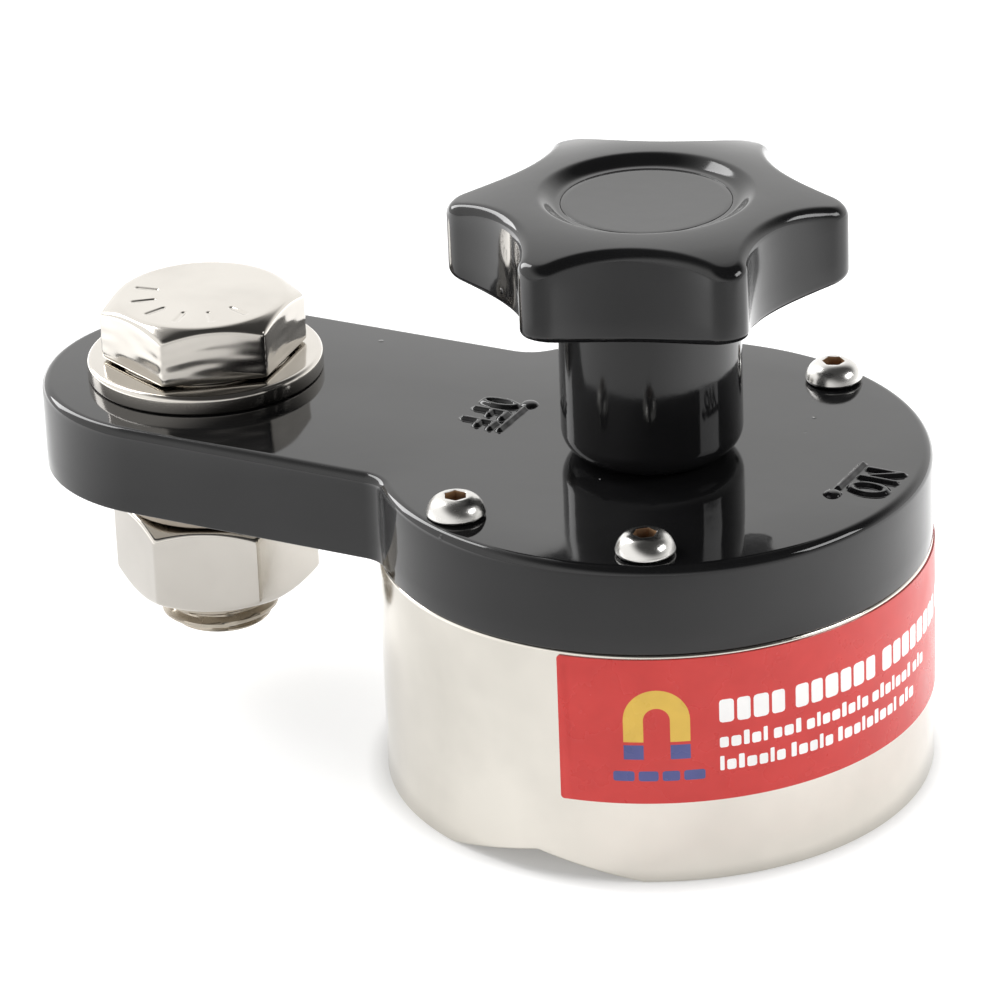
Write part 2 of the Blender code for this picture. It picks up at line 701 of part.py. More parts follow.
def make_star_knob(mat, rotor):
    bore = SPINDLE_RADIUS + 2 * GAP
    fit = SPINDLE_SQUARE + GAP
    hub_top = knob_underside(HUB_RADIUS)
    rings = [(circle(bore), KNOB_BOTTOM)]
    rings += fillet(HUB_FOOT_FILLET, KNOB_BOTTOM + HUB_FOOT_FILLET, HUB_RADIUS, 4, -90, 0)
    rings.append((circle(HUB_RADIUS), hub_top - HUB_TOP_FILLET))
    rings.append((circle(HUB_RADIUS + HUB_TOP_FILLET), hub_top))

    start = circle(HUB_RADIUS + HUB_TOP_FILLET)
    rings.append((between(start, star(LOBE_LOWER_EDGE), 0.5), knob_underside))
    rings += rim_rings(LOBE_LOWER_EDGE, 2, knob_underside, True)

    rings += rim_rings(LOBE_UPPER_EDGE, 3, knob_crown, False)[::-1]
    crest = circle(CREST_RADIUS)
    rings.append((between(crest, star(LOBE_UPPER_EDGE), 0.5), knob_crown))
    dish_steps = 3
    for i in range(dish_steps + 1):
        share = i / dish_steps
        reach = CREST_RADIUS + (DISH_RADIUS - CREST_RADIUS) * share
        drop = (CREST_Z - DISH_Z) * (1 - math.cos(math.pi * share)) / 2
        rings.append((circle(reach), CREST_Z - drop))

    cap_seat = DISH_Z - CAP_THICKNESS - GAP
    rings += [
        (circle(CAP_RECESS_RADIUS), DISH_Z),
        (circle(CAP_RECESS_RADIUS), cap_seat),
        (circle(SCREW_RECESS_RADIUS), cap_seat),
        (circle(SCREW_RECESS_RADIUS), SCREW_RECESS_Z),
        (square(fit), SCREW_RECESS_Z),
        (square(fit), SPINDLE_SHOULDER + GAP),
        (circle(bore), SPINDLE_SHOULDER + GAP),
    ]
    knob = turned(rings, FINE, through=True)
    add_object("star_knob", knob, mat, parent=rotor, turn=KNOB_HEADING)

    cap = plain_disc(CAP_RECESS_RADIUS - GAP, DISH_Z - CAP_THICKNESS, DISH_Z, 0.2 * MM, MEDIUM)
    add_object("knob_cap", cap, mat, parent=rotor)


def make_knob_screw(steel, rotor):
    washer_bottom = SCREW_RECESS_Z + GAP
    washer_top = washer_bottom + KNOB_WASHER_THICKNESS
    inner = KNOB_SCREW_RADIUS + GAP
    washer = plain_ring(inner, SCREW_RECESS_RADIUS - 2 * GAP, washer_bottom, washer_top, MEDIUM)
    add_object("knob_screw_washer", washer, steel, parent=rotor)
    button_screw("knob_screw", steel, rotor, (0.0, 0.0, 0.0), KNOB_SCREW_RADIUS,
                 KNOB_SCREW_LENGTH, KNOB_SCREW_HEAD_RADIUS, KNOB_SCREW_HEAD_HEIGHT,
                 washer_top + GAP)


# --- Cable terminal ---


def hex_crown(height, upwards):
    """Heights along a hexagon's corners, cut by the turned 30 degree chamfer."""
    slope = math.tan(math.radians(30))
    sign = -1 if upwards else 1

    def edge(radius):
        return height + sign * slope * max(radius - HEX_CROWN_RADIUS, 0.0)

    return edge


def make_terminal(plate, steel, bolt_axis):
    tip = THREAD_RADIUS - THREAD_CHAMFER
    rings = [
        (circle(tip), BOLT_END),
        (circle(THREAD_RADIUS), BOLT_END + THREAD_CHAMFER_HEIGHT),
        (circle(THREAD_RADIUS), HEAD_BOTTOM),
        (hexagon(HEX_HALF_FLATS), HEAD_BOTTOM),
        (hexagon(HEX_HALF_FLATS), hex_crown(HEAD_TOP, True)),
        (circle(HEX_CROWN_RADIUS), HEAD_TOP),
    ]
    add_object("terminal_bolt", turned(rings, MEDIUM), plate, parent=bolt_axis, turn=BOLT_HEADING)

    inner = THREAD_RADIUS + GAP
    rings = [
        (circle(inner), NUT_BOTTOM),
        (circle(HEX_CROWN_RADIUS), NUT_BOTTOM),
        (hexagon(HEX_HALF_FLATS), hex_crown(NUT_BOTTOM, False)),
        (hexagon(HEX_HALF_FLATS), hex_crown(NUT_TOP, True)),
        (circle(HEX_CROWN_RADIUS), NUT_TOP),
        (circle(inner), NUT_TOP),
    ]
    place = (BOLT_AXIS_X, 0.0, 0.0)
    nut = turned(rings, MEDIUM, through=True)
    add_object("terminal_nut", nut, plate, location=place, turn=NUT_HEADING)

    for name, bottom in (
        ("terminal_washer", COVER_TOP + GAP),
        ("lug_washer", COVER_BOTTOM - GAP - WASHER_THICKNESS),
    ):
        washer = plain_ring(CLEARANCE_RADIUS, WASHER_RADIUS, bottom, bottom + WASHER_THICKNESS, MEDIUM)
        add_object(name, washer, plate, location=place)

    half_slit = math.degrees(SPRING_WASHER_SLIT / 2 / SPRING_WASHER_RADIUS)
    outer = arc(0.0, 0.0, SPRING_WASHER_RADIUS, half_slit, 360 - half_slit, MEDIUM)
    inner_arc = arc(0.0, 0.0, CLEARANCE_RADIUS, 360 - half_slit, half_slit, MEDIUM)
    spring = prism(outer + inner_arc, SPRING_WASHER_BOTTOM, SPRING_WASHER_TOP)
    add_object("spring_washer", spring, steel, location=place, turn=SPRING_WASHER_HEADING)


# --- Label ---


def make_label(mat):
    """A thin sticker bent round the cup, with round corners."""
    radii = (BODY_RADIUS + GAP, LABEL_OUTER_RADIUS)
    corner_degrees = math.degrees(LABEL_CORNER / BODY_RADIUS)
    corner_steps = 4
    columns = []
    for i in range(corner_steps + 1):
        angle = math.pi / 2 * i / corner_steps
        columns.append((LABEL_START + corner_degrees * (1 - math.cos(angle)), 1 - math.sin(angle)))
    flat_steps = 40
    flat = LABEL_END - LABEL_START - 2 * corner_degrees
    for i in range(1, flat_steps):
        columns.append((LABEL_START + corner_degrees + flat * i / flat_steps, 0.0))
    for degrees, share in columns[corner_steps::-1]:
        columns.append((LABEL_START + LABEL_END - degrees, share))

    bm = bmesh.new()
    rows = []
    for degrees, share in columns:
        trim = LABEL_CORNER * share
        row = []
        for radius, z in (
            (radii[1], LABEL_BOTTOM + trim),
            (radii[1], LABEL_TOP - trim),
            (radii[0], LABEL_TOP - trim),
            (radii[0], LABEL_BOTTOM + trim),
        ):
            x, y = on_circle(radius, degrees)
            row.append(bm.verts.new((x, y, z)))
        rows.append(row)
    bm.faces.new(rows[0])
    bm.faces.new(reversed(rows[-1]))
    for left, right in zip(rows, rows[1:]):
        for i in range(4):
            j = (i + 1) % 4
            bm.faces.new((left[i], right[i], right[j], left[j]))
    add_object("label", bm, mat, location=(KNOB_AXIS_X, 0.0, 0.0))


def main():
    clear_scene()
    nickel = material("nickel_plate", (0.78, 0.75, 0.70), 0.2, 1.0)
    black = material("black_enamel", (0.012, 0.012, 0.013), 0.12, 0.0)
    knob_black = material("knob_enamel", (0.012, 0.012, 0.013), 0.12, 0.0)
    plate = material("bolt_plate", (0.76, 0.73, 0.67), 0.2, 1.0)
    steel = material("bright_steel", (0.72, 0.70, 0.67), 0.22, 1.0)
    magnet = material("magnet_plate", (0.55, 0.56, 0.58), 0.3, 1.0)
    alloy = material("cast_alloy", (0.60, 0.60, 0.60), 0.45, 1.0)
    bronze = material("bearing_bronze", (0.60, 0.40, 0.18), 0.35, 1.0)
    rubber = material("seal_rubber", (0.02, 0.02, 0.02), 0.7, 0.0)
    slip = material("slip_plastic", (0.80, 0.80, 0.78), 0.5, 0.0)
    red = material("label_red", (0.72, 0.05, 0.05), 0.4, 0.0)

    rotor = empty("rotor_axis", KNOB_AXIS_X)
    bolt_axis = empty("bolt_axis", BOLT_AXIS_X)
    make_magnet_body(nickel)
    make_magnets(magnet, slip, rotor)
    make_carrier(alloy, rotor)
    make_pins(steel, rotor)
    make_spindle(steel, rotor)
    make_bearings(bronze, rubber)
    make_cover_plate(black)
    make_cover_screws(steel)
    make_star_knob(knob_black, rotor)
    make_knob_screw(steel, rotor)
    make_terminal(plate, steel, bolt_axis)
    make_label(red)


main()
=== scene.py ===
import math

import bmesh
import bpy
from mathutils import Matrix, Vector, noise
from mathutils.geometry import delaunay_2d_cdt


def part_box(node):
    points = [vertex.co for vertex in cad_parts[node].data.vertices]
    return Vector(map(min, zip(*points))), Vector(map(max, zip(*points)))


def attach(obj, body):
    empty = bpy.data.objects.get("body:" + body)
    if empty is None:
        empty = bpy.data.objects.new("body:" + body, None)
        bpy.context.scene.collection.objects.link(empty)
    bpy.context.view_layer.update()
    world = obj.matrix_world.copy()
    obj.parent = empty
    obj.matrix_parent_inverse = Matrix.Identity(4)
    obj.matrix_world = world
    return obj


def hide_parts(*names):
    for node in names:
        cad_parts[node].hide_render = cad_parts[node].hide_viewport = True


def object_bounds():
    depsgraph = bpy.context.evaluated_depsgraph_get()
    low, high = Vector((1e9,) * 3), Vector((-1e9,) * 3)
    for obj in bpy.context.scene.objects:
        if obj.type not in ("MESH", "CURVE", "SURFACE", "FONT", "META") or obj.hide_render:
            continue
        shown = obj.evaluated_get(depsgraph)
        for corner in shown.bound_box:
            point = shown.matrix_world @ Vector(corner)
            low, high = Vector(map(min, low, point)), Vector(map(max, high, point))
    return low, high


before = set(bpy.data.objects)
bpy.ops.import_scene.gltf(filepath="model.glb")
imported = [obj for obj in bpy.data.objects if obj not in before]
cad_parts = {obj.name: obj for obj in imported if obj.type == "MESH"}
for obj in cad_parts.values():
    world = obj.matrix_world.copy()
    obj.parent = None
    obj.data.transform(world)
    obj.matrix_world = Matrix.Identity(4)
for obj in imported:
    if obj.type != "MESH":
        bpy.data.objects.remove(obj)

cad_low, cad_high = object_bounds()
MM = 0.001

# --- Places and sizes taken from the frame ---

cup_low, cup_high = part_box("magnet_body")
cover_low, cover_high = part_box("cover_plate")
knob_low, knob_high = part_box("star_knob")
cap_low, cap_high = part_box("knob_cap")
bolt_low, bolt_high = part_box("terminal_bolt")
nut_low, nut_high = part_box("terminal_nut")
washer_low, washer_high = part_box("terminal_washer")
spring_low, spring_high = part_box("spring_washer")
lug_washer_low, lug_washer_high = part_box("lug_washer")
label_low, label_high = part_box("label")

CUP_RADIUS = (cup_high.x - cup_low.x) / 2
KNOB_X = (cup_high.x + cup_low.x) / 2
BOLT_X = (washer_high.x + washer_low.x) / 2
LUG_REACH = KNOB_X - BOLT_X
LUG_HALF_WIDTH = BOLT_X - cover_low.x
LETTER_RISE = 0.5 * MM
COVER_TOP = cover_high.z - LETTER_RISE
WASHER_FOOT = COVER_TOP + 0.03 * MM
HEAD_SEAT = washer_high.z + 0.08 * MM

# --- Materials ---
#
# Texture scales are in cells per metre, and bump depths in metres.


def shader_of(mat):
    return mat.node_tree.nodes["Principled BSDF"]


def new_material(name, colour, roughness, metallic=0.0, **sockets):
    mat = bpy.data.materials.new(name)
    mat.use_nodes = True
    shader = shader_of(mat)
    shader.inputs["Base Color"].default_value = (*colour, 1.0)
    shader.inputs["Roughness"].default_value = roughness
    shader.inputs["Metallic"].default_value = metallic
    for socket, value in sockets.items():
        shader.inputs[socket.replace("_", " ")].default_value = value
    return mat


def add_node(mat, kind, **settings):
    """A new node in the tree of a material or of the world."""
    node = mat.node_tree.nodes.new(kind)
    for name, value in settings.items():
        setattr(node, name, value)
    return node


def link(mat, source, target):
    mat.node_tree.links.new(source, target)


def place_of(mat, stretch=(1.0, 1.0, 1.0), offset=(0.0, 0.0, 0.0)):
    """Object coordinates in metres, stretched before they reach a texture."""
    where = add_node(mat, "ShaderNodeTexCoord")
    mapping = add_node(mat, "ShaderNodeMapping")
    mapping.inputs["Scale"].default_value = stretch
    mapping.inputs["Location"].default_value = offset
    link(mat, where.outputs["Object"], mapping.inputs["Vector"])
    return mapping.outputs["Vector"]


def clouds(mat, scale, detail=3.0, stretch=(1.0, 1.0, 1.0), offset=(0.0, 0.0, 0.0)):
    texture = add_node(mat, "ShaderNodeTexNoise")
    texture.inputs["Scale"].default_value = scale
    texture.inputs["Detail"].default_value = detail
    link(mat, place_of(mat, stretch, offset), texture.inputs["Vector"])
    return texture.outputs["Fac"]


def remap(mat, value, low, high, to_low, to_high):
    node = add_node(mat, "ShaderNodeMapRange")
    node.inputs["From Min"].default_value = low
    node.inputs["From Max"].default_value = high
    node.inputs["To Min"].default_value = to_low
    node.inputs["To Max"].default_value = to_high
    link(mat, value, node.inputs["Value"])
    return node.outputs["Result"]


def ramp(mat, value, stops):
    node = add_node(mat, "ShaderNodeValToRGB")
    elements = node.color_ramp.elements
    while len(elements) < len(stops):
        elements.new(0.5)
    for element, (position, colour) in zip(elements, stops):
        element.position = position
        element.color = (*colour, 1.0)
    link(mat, value, node.inputs["Fac"])
    return node.outputs["Color"]


def math_node(mat, operation, first, second):
    node = add_node(mat, "ShaderNodeMath", operation=operation)
    for socket, value in zip(node.inputs, (first, second)):
        if isinstance(value, (int, float)):
            socket.default_value = value
        else:
            link(mat, value, socket)
    return node.outputs["Value"]


def specks(mat, scale, share, size, offset=(0.0, 0.0, 0.0)):
    """1 in small round spots, in that share of the cells of a random pattern."""
    texture = add_node(mat, "ShaderNodeTexVoronoi")
    texture.inputs["Scale"].default_value = scale
    link(mat, place_of(mat, offset=offset), texture.inputs["Vector"])
    spot = remap(mat, texture.outputs["Distance"], size, size * 0.5, 0.0, 1.0)
    parts = add_node(mat, "ShaderNodeSeparateColor")
    link(mat, texture.outputs["Color"], parts.inputs["Color"])
    chosen = math_node(mat, "LESS_THAN", parts.outputs["Red"], share)
    return math_node(mat, "MULTIPLY", spot, chosen)


def set_colour(mat, value, stops):
    link(mat, ramp(mat, value, stops), shader_of(mat).inputs["Base Color"])


def set_roughness(mat, value, low, high, to_low, to_high):
    link(mat, remap(mat, value, low, high, to_low, to_high), shader_of(mat).inputs["Roughness"])


def set_bumps(mat, layers):
    """Stacks bumps; each layer is (height socket, depth in metres)."""
    previous = None
    for height, depth in layers:
        bump = add_node(mat, "ShaderNodeBump")
        bump.inputs["Strength"].default_value = 1.0
        bump.inputs["Distance"].default_value = depth
        link(mat, height, bump.inputs["Height"])
        if previous:
            link(mat, previous, bump.inputs["Normal"])
        previous = bump.outputs["Normal"]
    link(mat, previous, shader_of(mat).inputs["Normal"])


def enamel(name, offset, peel_depth, smooth, dull):
    """Gloss black stoving enamel: orange peel, dust nibs, fine wear."""
    mat = new_material(name, (0.008, 0.008, 0.0085), 0.07, IOR=1.45)
    wear = clouds(mat, 90.0, 5.0, offset=offset)
    set_colour(mat, wear, [(0.35, (0.0068, 0.0068, 0.0072)), (0.7, (0.0098, 0.0098, 0.0104))])
    set_roughness(mat, clouds(mat, 55.0, 6.0, offset=offset), 0.35, 0.7, smooth, dull)
    nibs = specks(mat, scale=170.0, share=0.12, size=0.075, offset=offset)
    elsewhere = (offset[0] + 3.1, offset[1], offset[2])
    pits = specks(mat, scale=120.0, share=0.06, size=0.06, offset=elsewhere)
    peel = clouds(mat, 330.0, 2.0, offset=offset)
    swell = clouds(mat, 75.0, 2.0, offset=offset)
    set_bumps(mat, [(swell, 0.000030), (peel, peel_depth), (nibs, 0.00005), (pits, -0.00006)])
    return mat


def plated(name, light, dark, rough, offset, swell_depth=0.00004, grain=None):
    """Bright nickel plate: slow swell under the plate, faint grain, small pits."""
    mat = new_material(name, light, rough, 1.0)
    tone = clouds(mat, 60.0, 5.0, offset=offset)
    set_colour(mat, tone, [(0.3, dark), (0.62, light)])
    set_roughness(mat, clouds(mat, 140.0, 6.0, offset=offset), 0.3, 0.72, rough * 0.7, rough * 1.5)
    layers = [(clouds(mat, 70.0, 2.0, offset=offset), swell_depth)]
    if grain:
        layers.append((clouds(mat, 900.0, 2.0, stretch=grain, offset=offset), 0.0000022))
    pits = specks(mat, scale=220.0, share=0.12, size=0.08, offset=offset)
    layers.append((pits, -0.00004))
    set_bumps(mat, layers)
    return mat


def printed(name, colour, shade):
    """Printed vinyl: satin gloss with a faint mottle."""
    mat = new_material(name, colour, 0.3, IOR=1.46)
    tone = clouds(mat, 240.0, 3.0)
    set_colour(mat, tone, [(0.3, shade), (0.65, colour)])
    set_roughness(mat, clouds(mat, 150.0, 4.0), 0.3, 0.7, 0.22, 0.36)
    set_bumps(mat, [(clouds(mat, 120.0, 2.0), 0.00001)])
    return mat


def inner(name, light, dark, rough, metallic):
    """A plain finish for pieces that the cup and the cover enclose."""
    mat = new_material(name, light, rough, metallic)
    tone = clouds(mat, 400.0, 4.0)
    set_colour(mat, tone, [(0.3, dark), (0.7, light)])
    set_roughness(mat, clouds(mat, 700.0, 3.0), 0.3, 0.7, rough * 0.8, rough * 1.2)
    set_bumps(mat, [(clouds(mat, 1500.0, 2.0), 0.000006)])
    return mat


# The cup's faint grinding marks run level.
GRIND_STRETCH = (0.03, 0.03, 1.0)

cover_enamel = enamel("black_enamel", (0.0, 0.0, 0.0), 0.0000055, 0.035, 0.11)
knob_enamel = enamel("knob_enamel", (1.7, 0.4, 0.9), 0.000011, 0.07, 0.15)
cup_plate = plated(
    "nickel_plate", (0.655, 0.625, 0.57), (0.575, 0.55, 0.50), 0.13, (0.2, 0.0, 0.1), grain=GRIND_STRETCH
)
bolt_plate = plated(
    "bolt_plate", (0.545, 0.52, 0.48), (0.47, 0.445, 0.41), 0.12, (0.9, 0.3, 0.5), swell_depth=0.00012
)
thread_steel = plated("thread_steel", (0.43, 0.39, 0.33), (0.30, 0.26, 0.21), 0.24, (0.1, 0.6, 0.7))
# The spring washer's dark colour is partly its own dark steel and partly painted shade for the shadow
# under the lug.
spring_steel_and_painted_shade = plated("spring_steel_and_painted_shade", (0.34, 0.30, 0.25), (0.20, 0.17, 0.14), 0.28, (0.4, 0.1, 0.3))
stainless = plated("bright_steel", (0.60, 0.59, 0.57), (0.50, 0.49, 0.47), 0.24, (0.5, 0.8, 0.2))
socket_brown = inner("socket_patina", (0.42, 0.25, 0.13), (0.12, 0.07, 0.04), 0.45, 0.6)
label_red = printed("label_red", (0.58, 0.034, 0.029), (0.53, 0.028, 0.024))
print_white = printed("label_white", (0.90, 0.89, 0.88), (0.84, 0.83, 0.82))
print_yellow = printed("label_yellow", (0.72, 0.47, 0.07), (0.64, 0.41, 0.06))
print_blue = printed("label_blue", (0.075, 0.085, 0.26), (0.06, 0.07, 0.22))
magnet_plate = inner("magnet_plate", (0.60, 0.61, 0.63), (0.48, 0.49, 0.51), 0.3, 1.0)
cast_alloy = inner("cast_alloy", (0.62, 0.62, 0.62), (0.50, 0.50, 0.50), 0.45, 1.0)
bearing_bronze = inner("bearing_bronze", (0.62, 0.42, 0.19), (0.45, 0.28, 0.12), 0.35, 1.0)
seal_rubber = inner("seal_rubber", (0.03, 0.03, 0.03), (0.015, 0.015, 0.015), 0.7, 0.0)
slip_plastic = inner("slip_plastic", (0.82, 0.82, 0.80), (0.72, 0.72, 0.70), 0.5, 0.0)
hidden_steel = inner("hidden_steel", (0.70, 0.69, 0.67), (0.58, 0.57, 0.55), 0.28, 1.0)

# --- Mesh helpers ---


def add_object(name, data):
    obj = bpy.data.objects.new(name, data)
    bpy.context.scene.collection.objects.link(obj)
    return obj


def make_piece(name, bm, mats, body, replaced, sharp=30.0):
    """Turns a bmesh in the row frame into a piece that rides on a body."""
    bmesh.ops.remove_doubles(bm, verts=bm.verts, dist=0.5e-6)
    bmesh.ops.recalc_face_normals(bm, faces=bm.faces)
    mesh = bpy.data.meshes.new(name)
    bm.to_mesh(mesh)
    bm.free()
    mesh.shade_smooth()
    mesh.set_sharp_from_angle(angle=math.radians(sharp))
    for mat in mats:
        mesh.materials.append(mat)
    obj = add_object(name, mesh)
    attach(obj, body)
    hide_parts(*replaced)


def shift(bm, x, y=0.0, turn=0.0):
    """Turns a mesh about its own axis and moves it to (x, y)."""
    move = Matrix.Translation((x, y, 0.0)) @ Matrix.Rotation(math.radians(turn), 4, "Z")
    bmesh.ops.transform(bm, matrix=move, verts=bm.verts)


def even_angles(count):
    return [2 * math.pi * i / count for i in range(count)]


def strip(bm, lower, upper, material=0):
    """Faces between two closed loops of as many points."""
    for i in range(len(lower)):
        j = (i + 1) % len(lower)
        face = bm.faces.new((lower[i], lower[j], upper[j], upper[i]))
        face.material_index = material


def turned(rings, angles, through=False, mark=None):
    """A solid through rings of (outline, height), bottom outwards and up.

    outline gives a radius for an angle; height is a number or a function of
    (radius, angle).  mark gives a material index for a ring's band of faces.
    """
    bm = bmesh.new()
    loops = []
    for outline, height in rings:
        loop = []
        for angle in angles:
            radius = outline(angle) if callable(outline) else outline
            z = height(radius, angle) if callable(height) else height
            loop.append(bm.verts.new((radius * math.cos(angle), radius * math.sin(angle), z)))
        loops.append(loop)
    pairs = list(zip(loops, loops[1:]))
    if through:
        pairs.append((loops[-1], loops[0]))
    else:
        bm.faces.new(reversed(loops[0]))
        top = bm.faces.new(loops[-1])
        if mark:
            top.material_index = mark(len(rings))
    for index, (lower, upper) in enumerate(pairs):
        strip(bm, lower, upper, mark(index) if mark else 0)
    return bm


def quarter(radius, steps):
    """Steps round a quarter circle, as distances left and distances gone."""
    leans = [math.pi / 2 * i / steps for i in range(steps + 1)]
    return [(radius * (1 - math.sin(lean)), radius * (1 - math.cos(lean))) for lean in leans]


def rounded(points, steps=6, closed=False):
    """Points (radius, z, corner) with an arc of that corner radius at each."""
    result = []
    count = len(points)
    for i, (r, z, corner) in enumerate(points):
        here = Vector((r, z))
        if corner <= 0 or (not closed and i in (0, count - 1)):
            result.append((r, z))
            continue
        before = (Vector(points[i - 1][:2]) - here).normalized()
        after = (Vector(points[(i + 1) % count][:2]) - here).normalized()
        half = math.acos(max(-1.0, min(1.0, before.dot(after)))) / 2
        reach = corner / math.tan(half)
        centre = here + (before + after).normalized() * (corner / math.sin(half))
        first = here + before * reach - centre
        last = here + after * reach - centre
        sweep = math.atan2(first.x * last.y - first.y * last.x, first.dot(last))
        for k in range(steps + 1):
            turn = sweep * k / steps
            x = first.x * math.cos(turn) - first.y * math.sin(turn)
            y = first.x * math.sin(turn) + first.y * math.cos(turn)
            result.append((centre.x + x, centre.y + y))
    return result


def spread(low, high, count):
    """That many evenly spaced values from low to high."""
    return [low + (high - low) * i / (count - 1) for i in range(count)]


def circle_points(x, y, radius, count):
    return [(x + radius * math.cos(a), y + radius * math.sin(a)) for a in even_angles(count)]


def inside(x, y, polygon):
    """Whether a point lies in a polygon."""
    odd = False
    last_x, last_y = polygon[-1]
    for px, py in polygon:
        if (py > y) != (last_y > y) and x < (last_x - px) * (y - py) / (last_y - py) + px:
            odd = not odd
        last_x, last_y = px, py
    return odd


def fill(loops, lines=()):
    """Triangles over the plane through closed loops and open lines."""
    points, edges = [], []
    for loop in loops:
        start = len(points)
        points.extend(Vector(p) for p in loop)
        edges.extend((start + i, start + (i + 1) % len(loop)) for i in range(len(loop)))
    for first, last in lines:
        points.extend((Vector(first), Vector(last)))
        edges.append((len(points) - 2, len(points) - 1))
    verts, _, faces, *_ = delaunay_2d_cdt(points, edges, [], 0, 1e-7)
    return [(v.x, v.y) for v in verts], faces


def middle_of(face, verts):
    """Middle of a flat face given by the numbers of its points."""
    return tuple(sum(verts[i][k] for i in face) / len(face) for k in (0, 1))


def smooth_step(value):
    value = max(0.0, min(1.0, value))
    return value * value * (3 - 2 * value)


# --- Steel cup ---

GROOVE_HALF_WIDTH = 13.5 * MM
GROOVE_DEPTH = 3.1 * MM
BORE_RADIUS = 27.0 * MM
BORE_FLOOR = 7.0 * MM
CUP_EDGE = 0.4 * MM


def groove_rise(x):
    """Height of the cup's underside at a distance x from the middle of the V."""
    return GROOVE_DEPTH * max(0.0, 1 - abs(x) / GROOVE_HALF_WIDTH)


def make_cup():
    inner_rim = CUP_RADIUS - CUP_EDGE
    creases = (-GROOVE_HALF_WIDTH, 0.0, GROOVE_HALF_WIDTH)
    angles = set(even_angles(288))
    for reach in (CUP_RADIUS, inner_rim):
        for x in creases:
            lean = math.acos(x / reach)
            angles.update((lean, 2 * math.pi - lean))
    angles = sorted(angles)
    steps = 14
    rings = []
    for inset, rise in quarter(CUP_EDGE, steps):
        reach = CUP_RADIUS - inset
        rings.append((reach, lambda r, a, rise=rise: groove_rise(r * math.cos(a)) + rise))
    for i in range(1, 8):
        share = i / 8

        def wall(radius, angle, share=share):
            low = groove_rise(radius * math.cos(angle)) + CUP_EDGE
            return low + (cup_high.z - CUP_EDGE - low) * share

        rings.append((CUP_RADIUS, wall))
    rings += rounded(
        [
            (CUP_RADIUS, cup_low.z, 0),
            (CUP_RADIUS, cup_high.z, CUP_EDGE),
            (BORE_RADIUS, cup_high.z, 0.3 * MM),
            (BORE_RADIUS, BORE_FLOOR, 0),
        ],
        steps,
    )[1:]
    bm = turned(rings, angles)
    bm.faces.ensure_lookup_table()
    bottom = min((f for f in bm.faces if len(f.verts) > 4), key=lambda f: f.calc_center_median().z)
    bm.faces.remove(bottom)
    loop = [(inner_rim * math.cos(a), inner_rim * math.sin(a)) for a in angles]
    lines = []
    for x in creases:
        y = math.sqrt(inner_rim**2 - x**2)
        lines.append(((x, -y), (x, y)))
    verts, faces = fill([loop], lines)
    made = [bm.verts.new((x, y, groove_rise(x))) for x, y in verts]
    for face in faces:
        bm.faces.new([made[i] for i in face])
    shift(bm, KNOB_X)
    make_piece("cup", bm, [cup_plate], "holder", ["magnet_body"], 9.0)


# --- Cover plate ---

COVER_EDGE = 1.3 * MM
COVER_FOOT = 0.25 * MM
NECK_FILLET = 5.0 * MM
SCREW_CIRCLE = 31.3 * MM
SCREW_ANGLES = (-116.5, -66.0, 66.0, 116.5)
SCREW_HOLE = 2.3 * MM
BUSH_HOLE = 8.6 * MM
BOLT_HOLE = 8.5 * MM
STROKE = 1.0 * MM
LETTER_HEIGHT = 5.6 * MM
LETTER_GAP = 0.7 * MM
TWO_LETTER_WIDTH = 3.6 * MM
THREE_LETTER_WIDTH = 2.7 * MM
BAR_GAP = 0.4 * MM
DOT_RADIUS = 1.15 * STROKE
DOT_GAP = 0.3 * MM
SLOPE_FOOT = 0.72 * MM
SLOPE_RUN = 0.6 * MM
CASTING_WOBBLE = 0.06 * MM
WINDOW_NEAR = 1.8 * MM
WINDOW_FAR = 6.85 * MM
WINDOW_LOW = 2.7 * MM
WINDOW_HIGH = 0.9 * MM
PATCH_STEP = 0.12 * MM


def arc(x, y, radius, first, last, steps):
    points = []
    for i in range(steps + 1):
        angle = math.radians(first + (last - first) * i / steps)
        points.append((x + radius * math.cos(angle), y + radius * math.sin(angle)))
    return points


def cover_outline(inset):
    """The round head, neck fillets and round-ended lug, moved in by inset."""
    offset_y = LUG_HALF_WIDTH + NECK_FILLET
    fillet_x = -math.sqrt((CUP_RADIUS + NECK_FILLET) ** 2 - offset_y**2)
    meet = math.degrees(math.atan2(offset_y, fillet_x))
    curl = NECK_FILLET + inset
    head = arc(0.0, 0.0, CUP_RADIUS - inset, -meet, meet, 220)
    back_neck = arc(fillet_x, offset_y, curl, meet - 180, -90, 18)
    lug = arc(-LUG_REACH, 0.0, LUG_HALF_WIDTH - inset, 90, 270, 110)
    front_neck = arc(fillet_x, -offset_y, curl, 90, 180 - meet, 18)
    return head + back_neck[1:] + lug + front_neck[1:-1]


def to_segment(x, y, first, last):
    """Distance from a point to a line segment."""
    dx, dy = last[0] - first[0], last[1] - first[1]
    share = ((x - first[0]) * dx + (y - first[1]) * dy) / max(dx * dx + dy * dy, 1e-12)
    share = max(0.0, min(1.0, share))
    return math.hypot(x - first[0] - share * dx, y - first[1] - share * dy)


def to_letter(letter, x, y, width):
    """Distance from a point to the middle of a letter's strokes."""
    w, h = (width - STROKE) / 2, (LETTER_HEIGHT - STROKE) / 2
    if letter == "O":
        reach = math.hypot(x / w, y / h)
        if reach < 1e-6:
            return min(w, h)
        slope = math.hypot(x / w**2, y / h**2) / reach
        return abs(reach - 1) / max(slope, 1e-6)
    if letter == "F":
        strokes = [((-w, -h), (-w, h)), ((-w, h), (w, h)), ((-w, 0.1 * h), (0.6 * w, 0.1 * h))]
    else:
        strokes = [((-w, -h), (-w, h)), ((-w, h), (w, -h)), ((w, -h), (w, h))]
    return min(to_segment(x, y, a, b) for a, b in strokes)


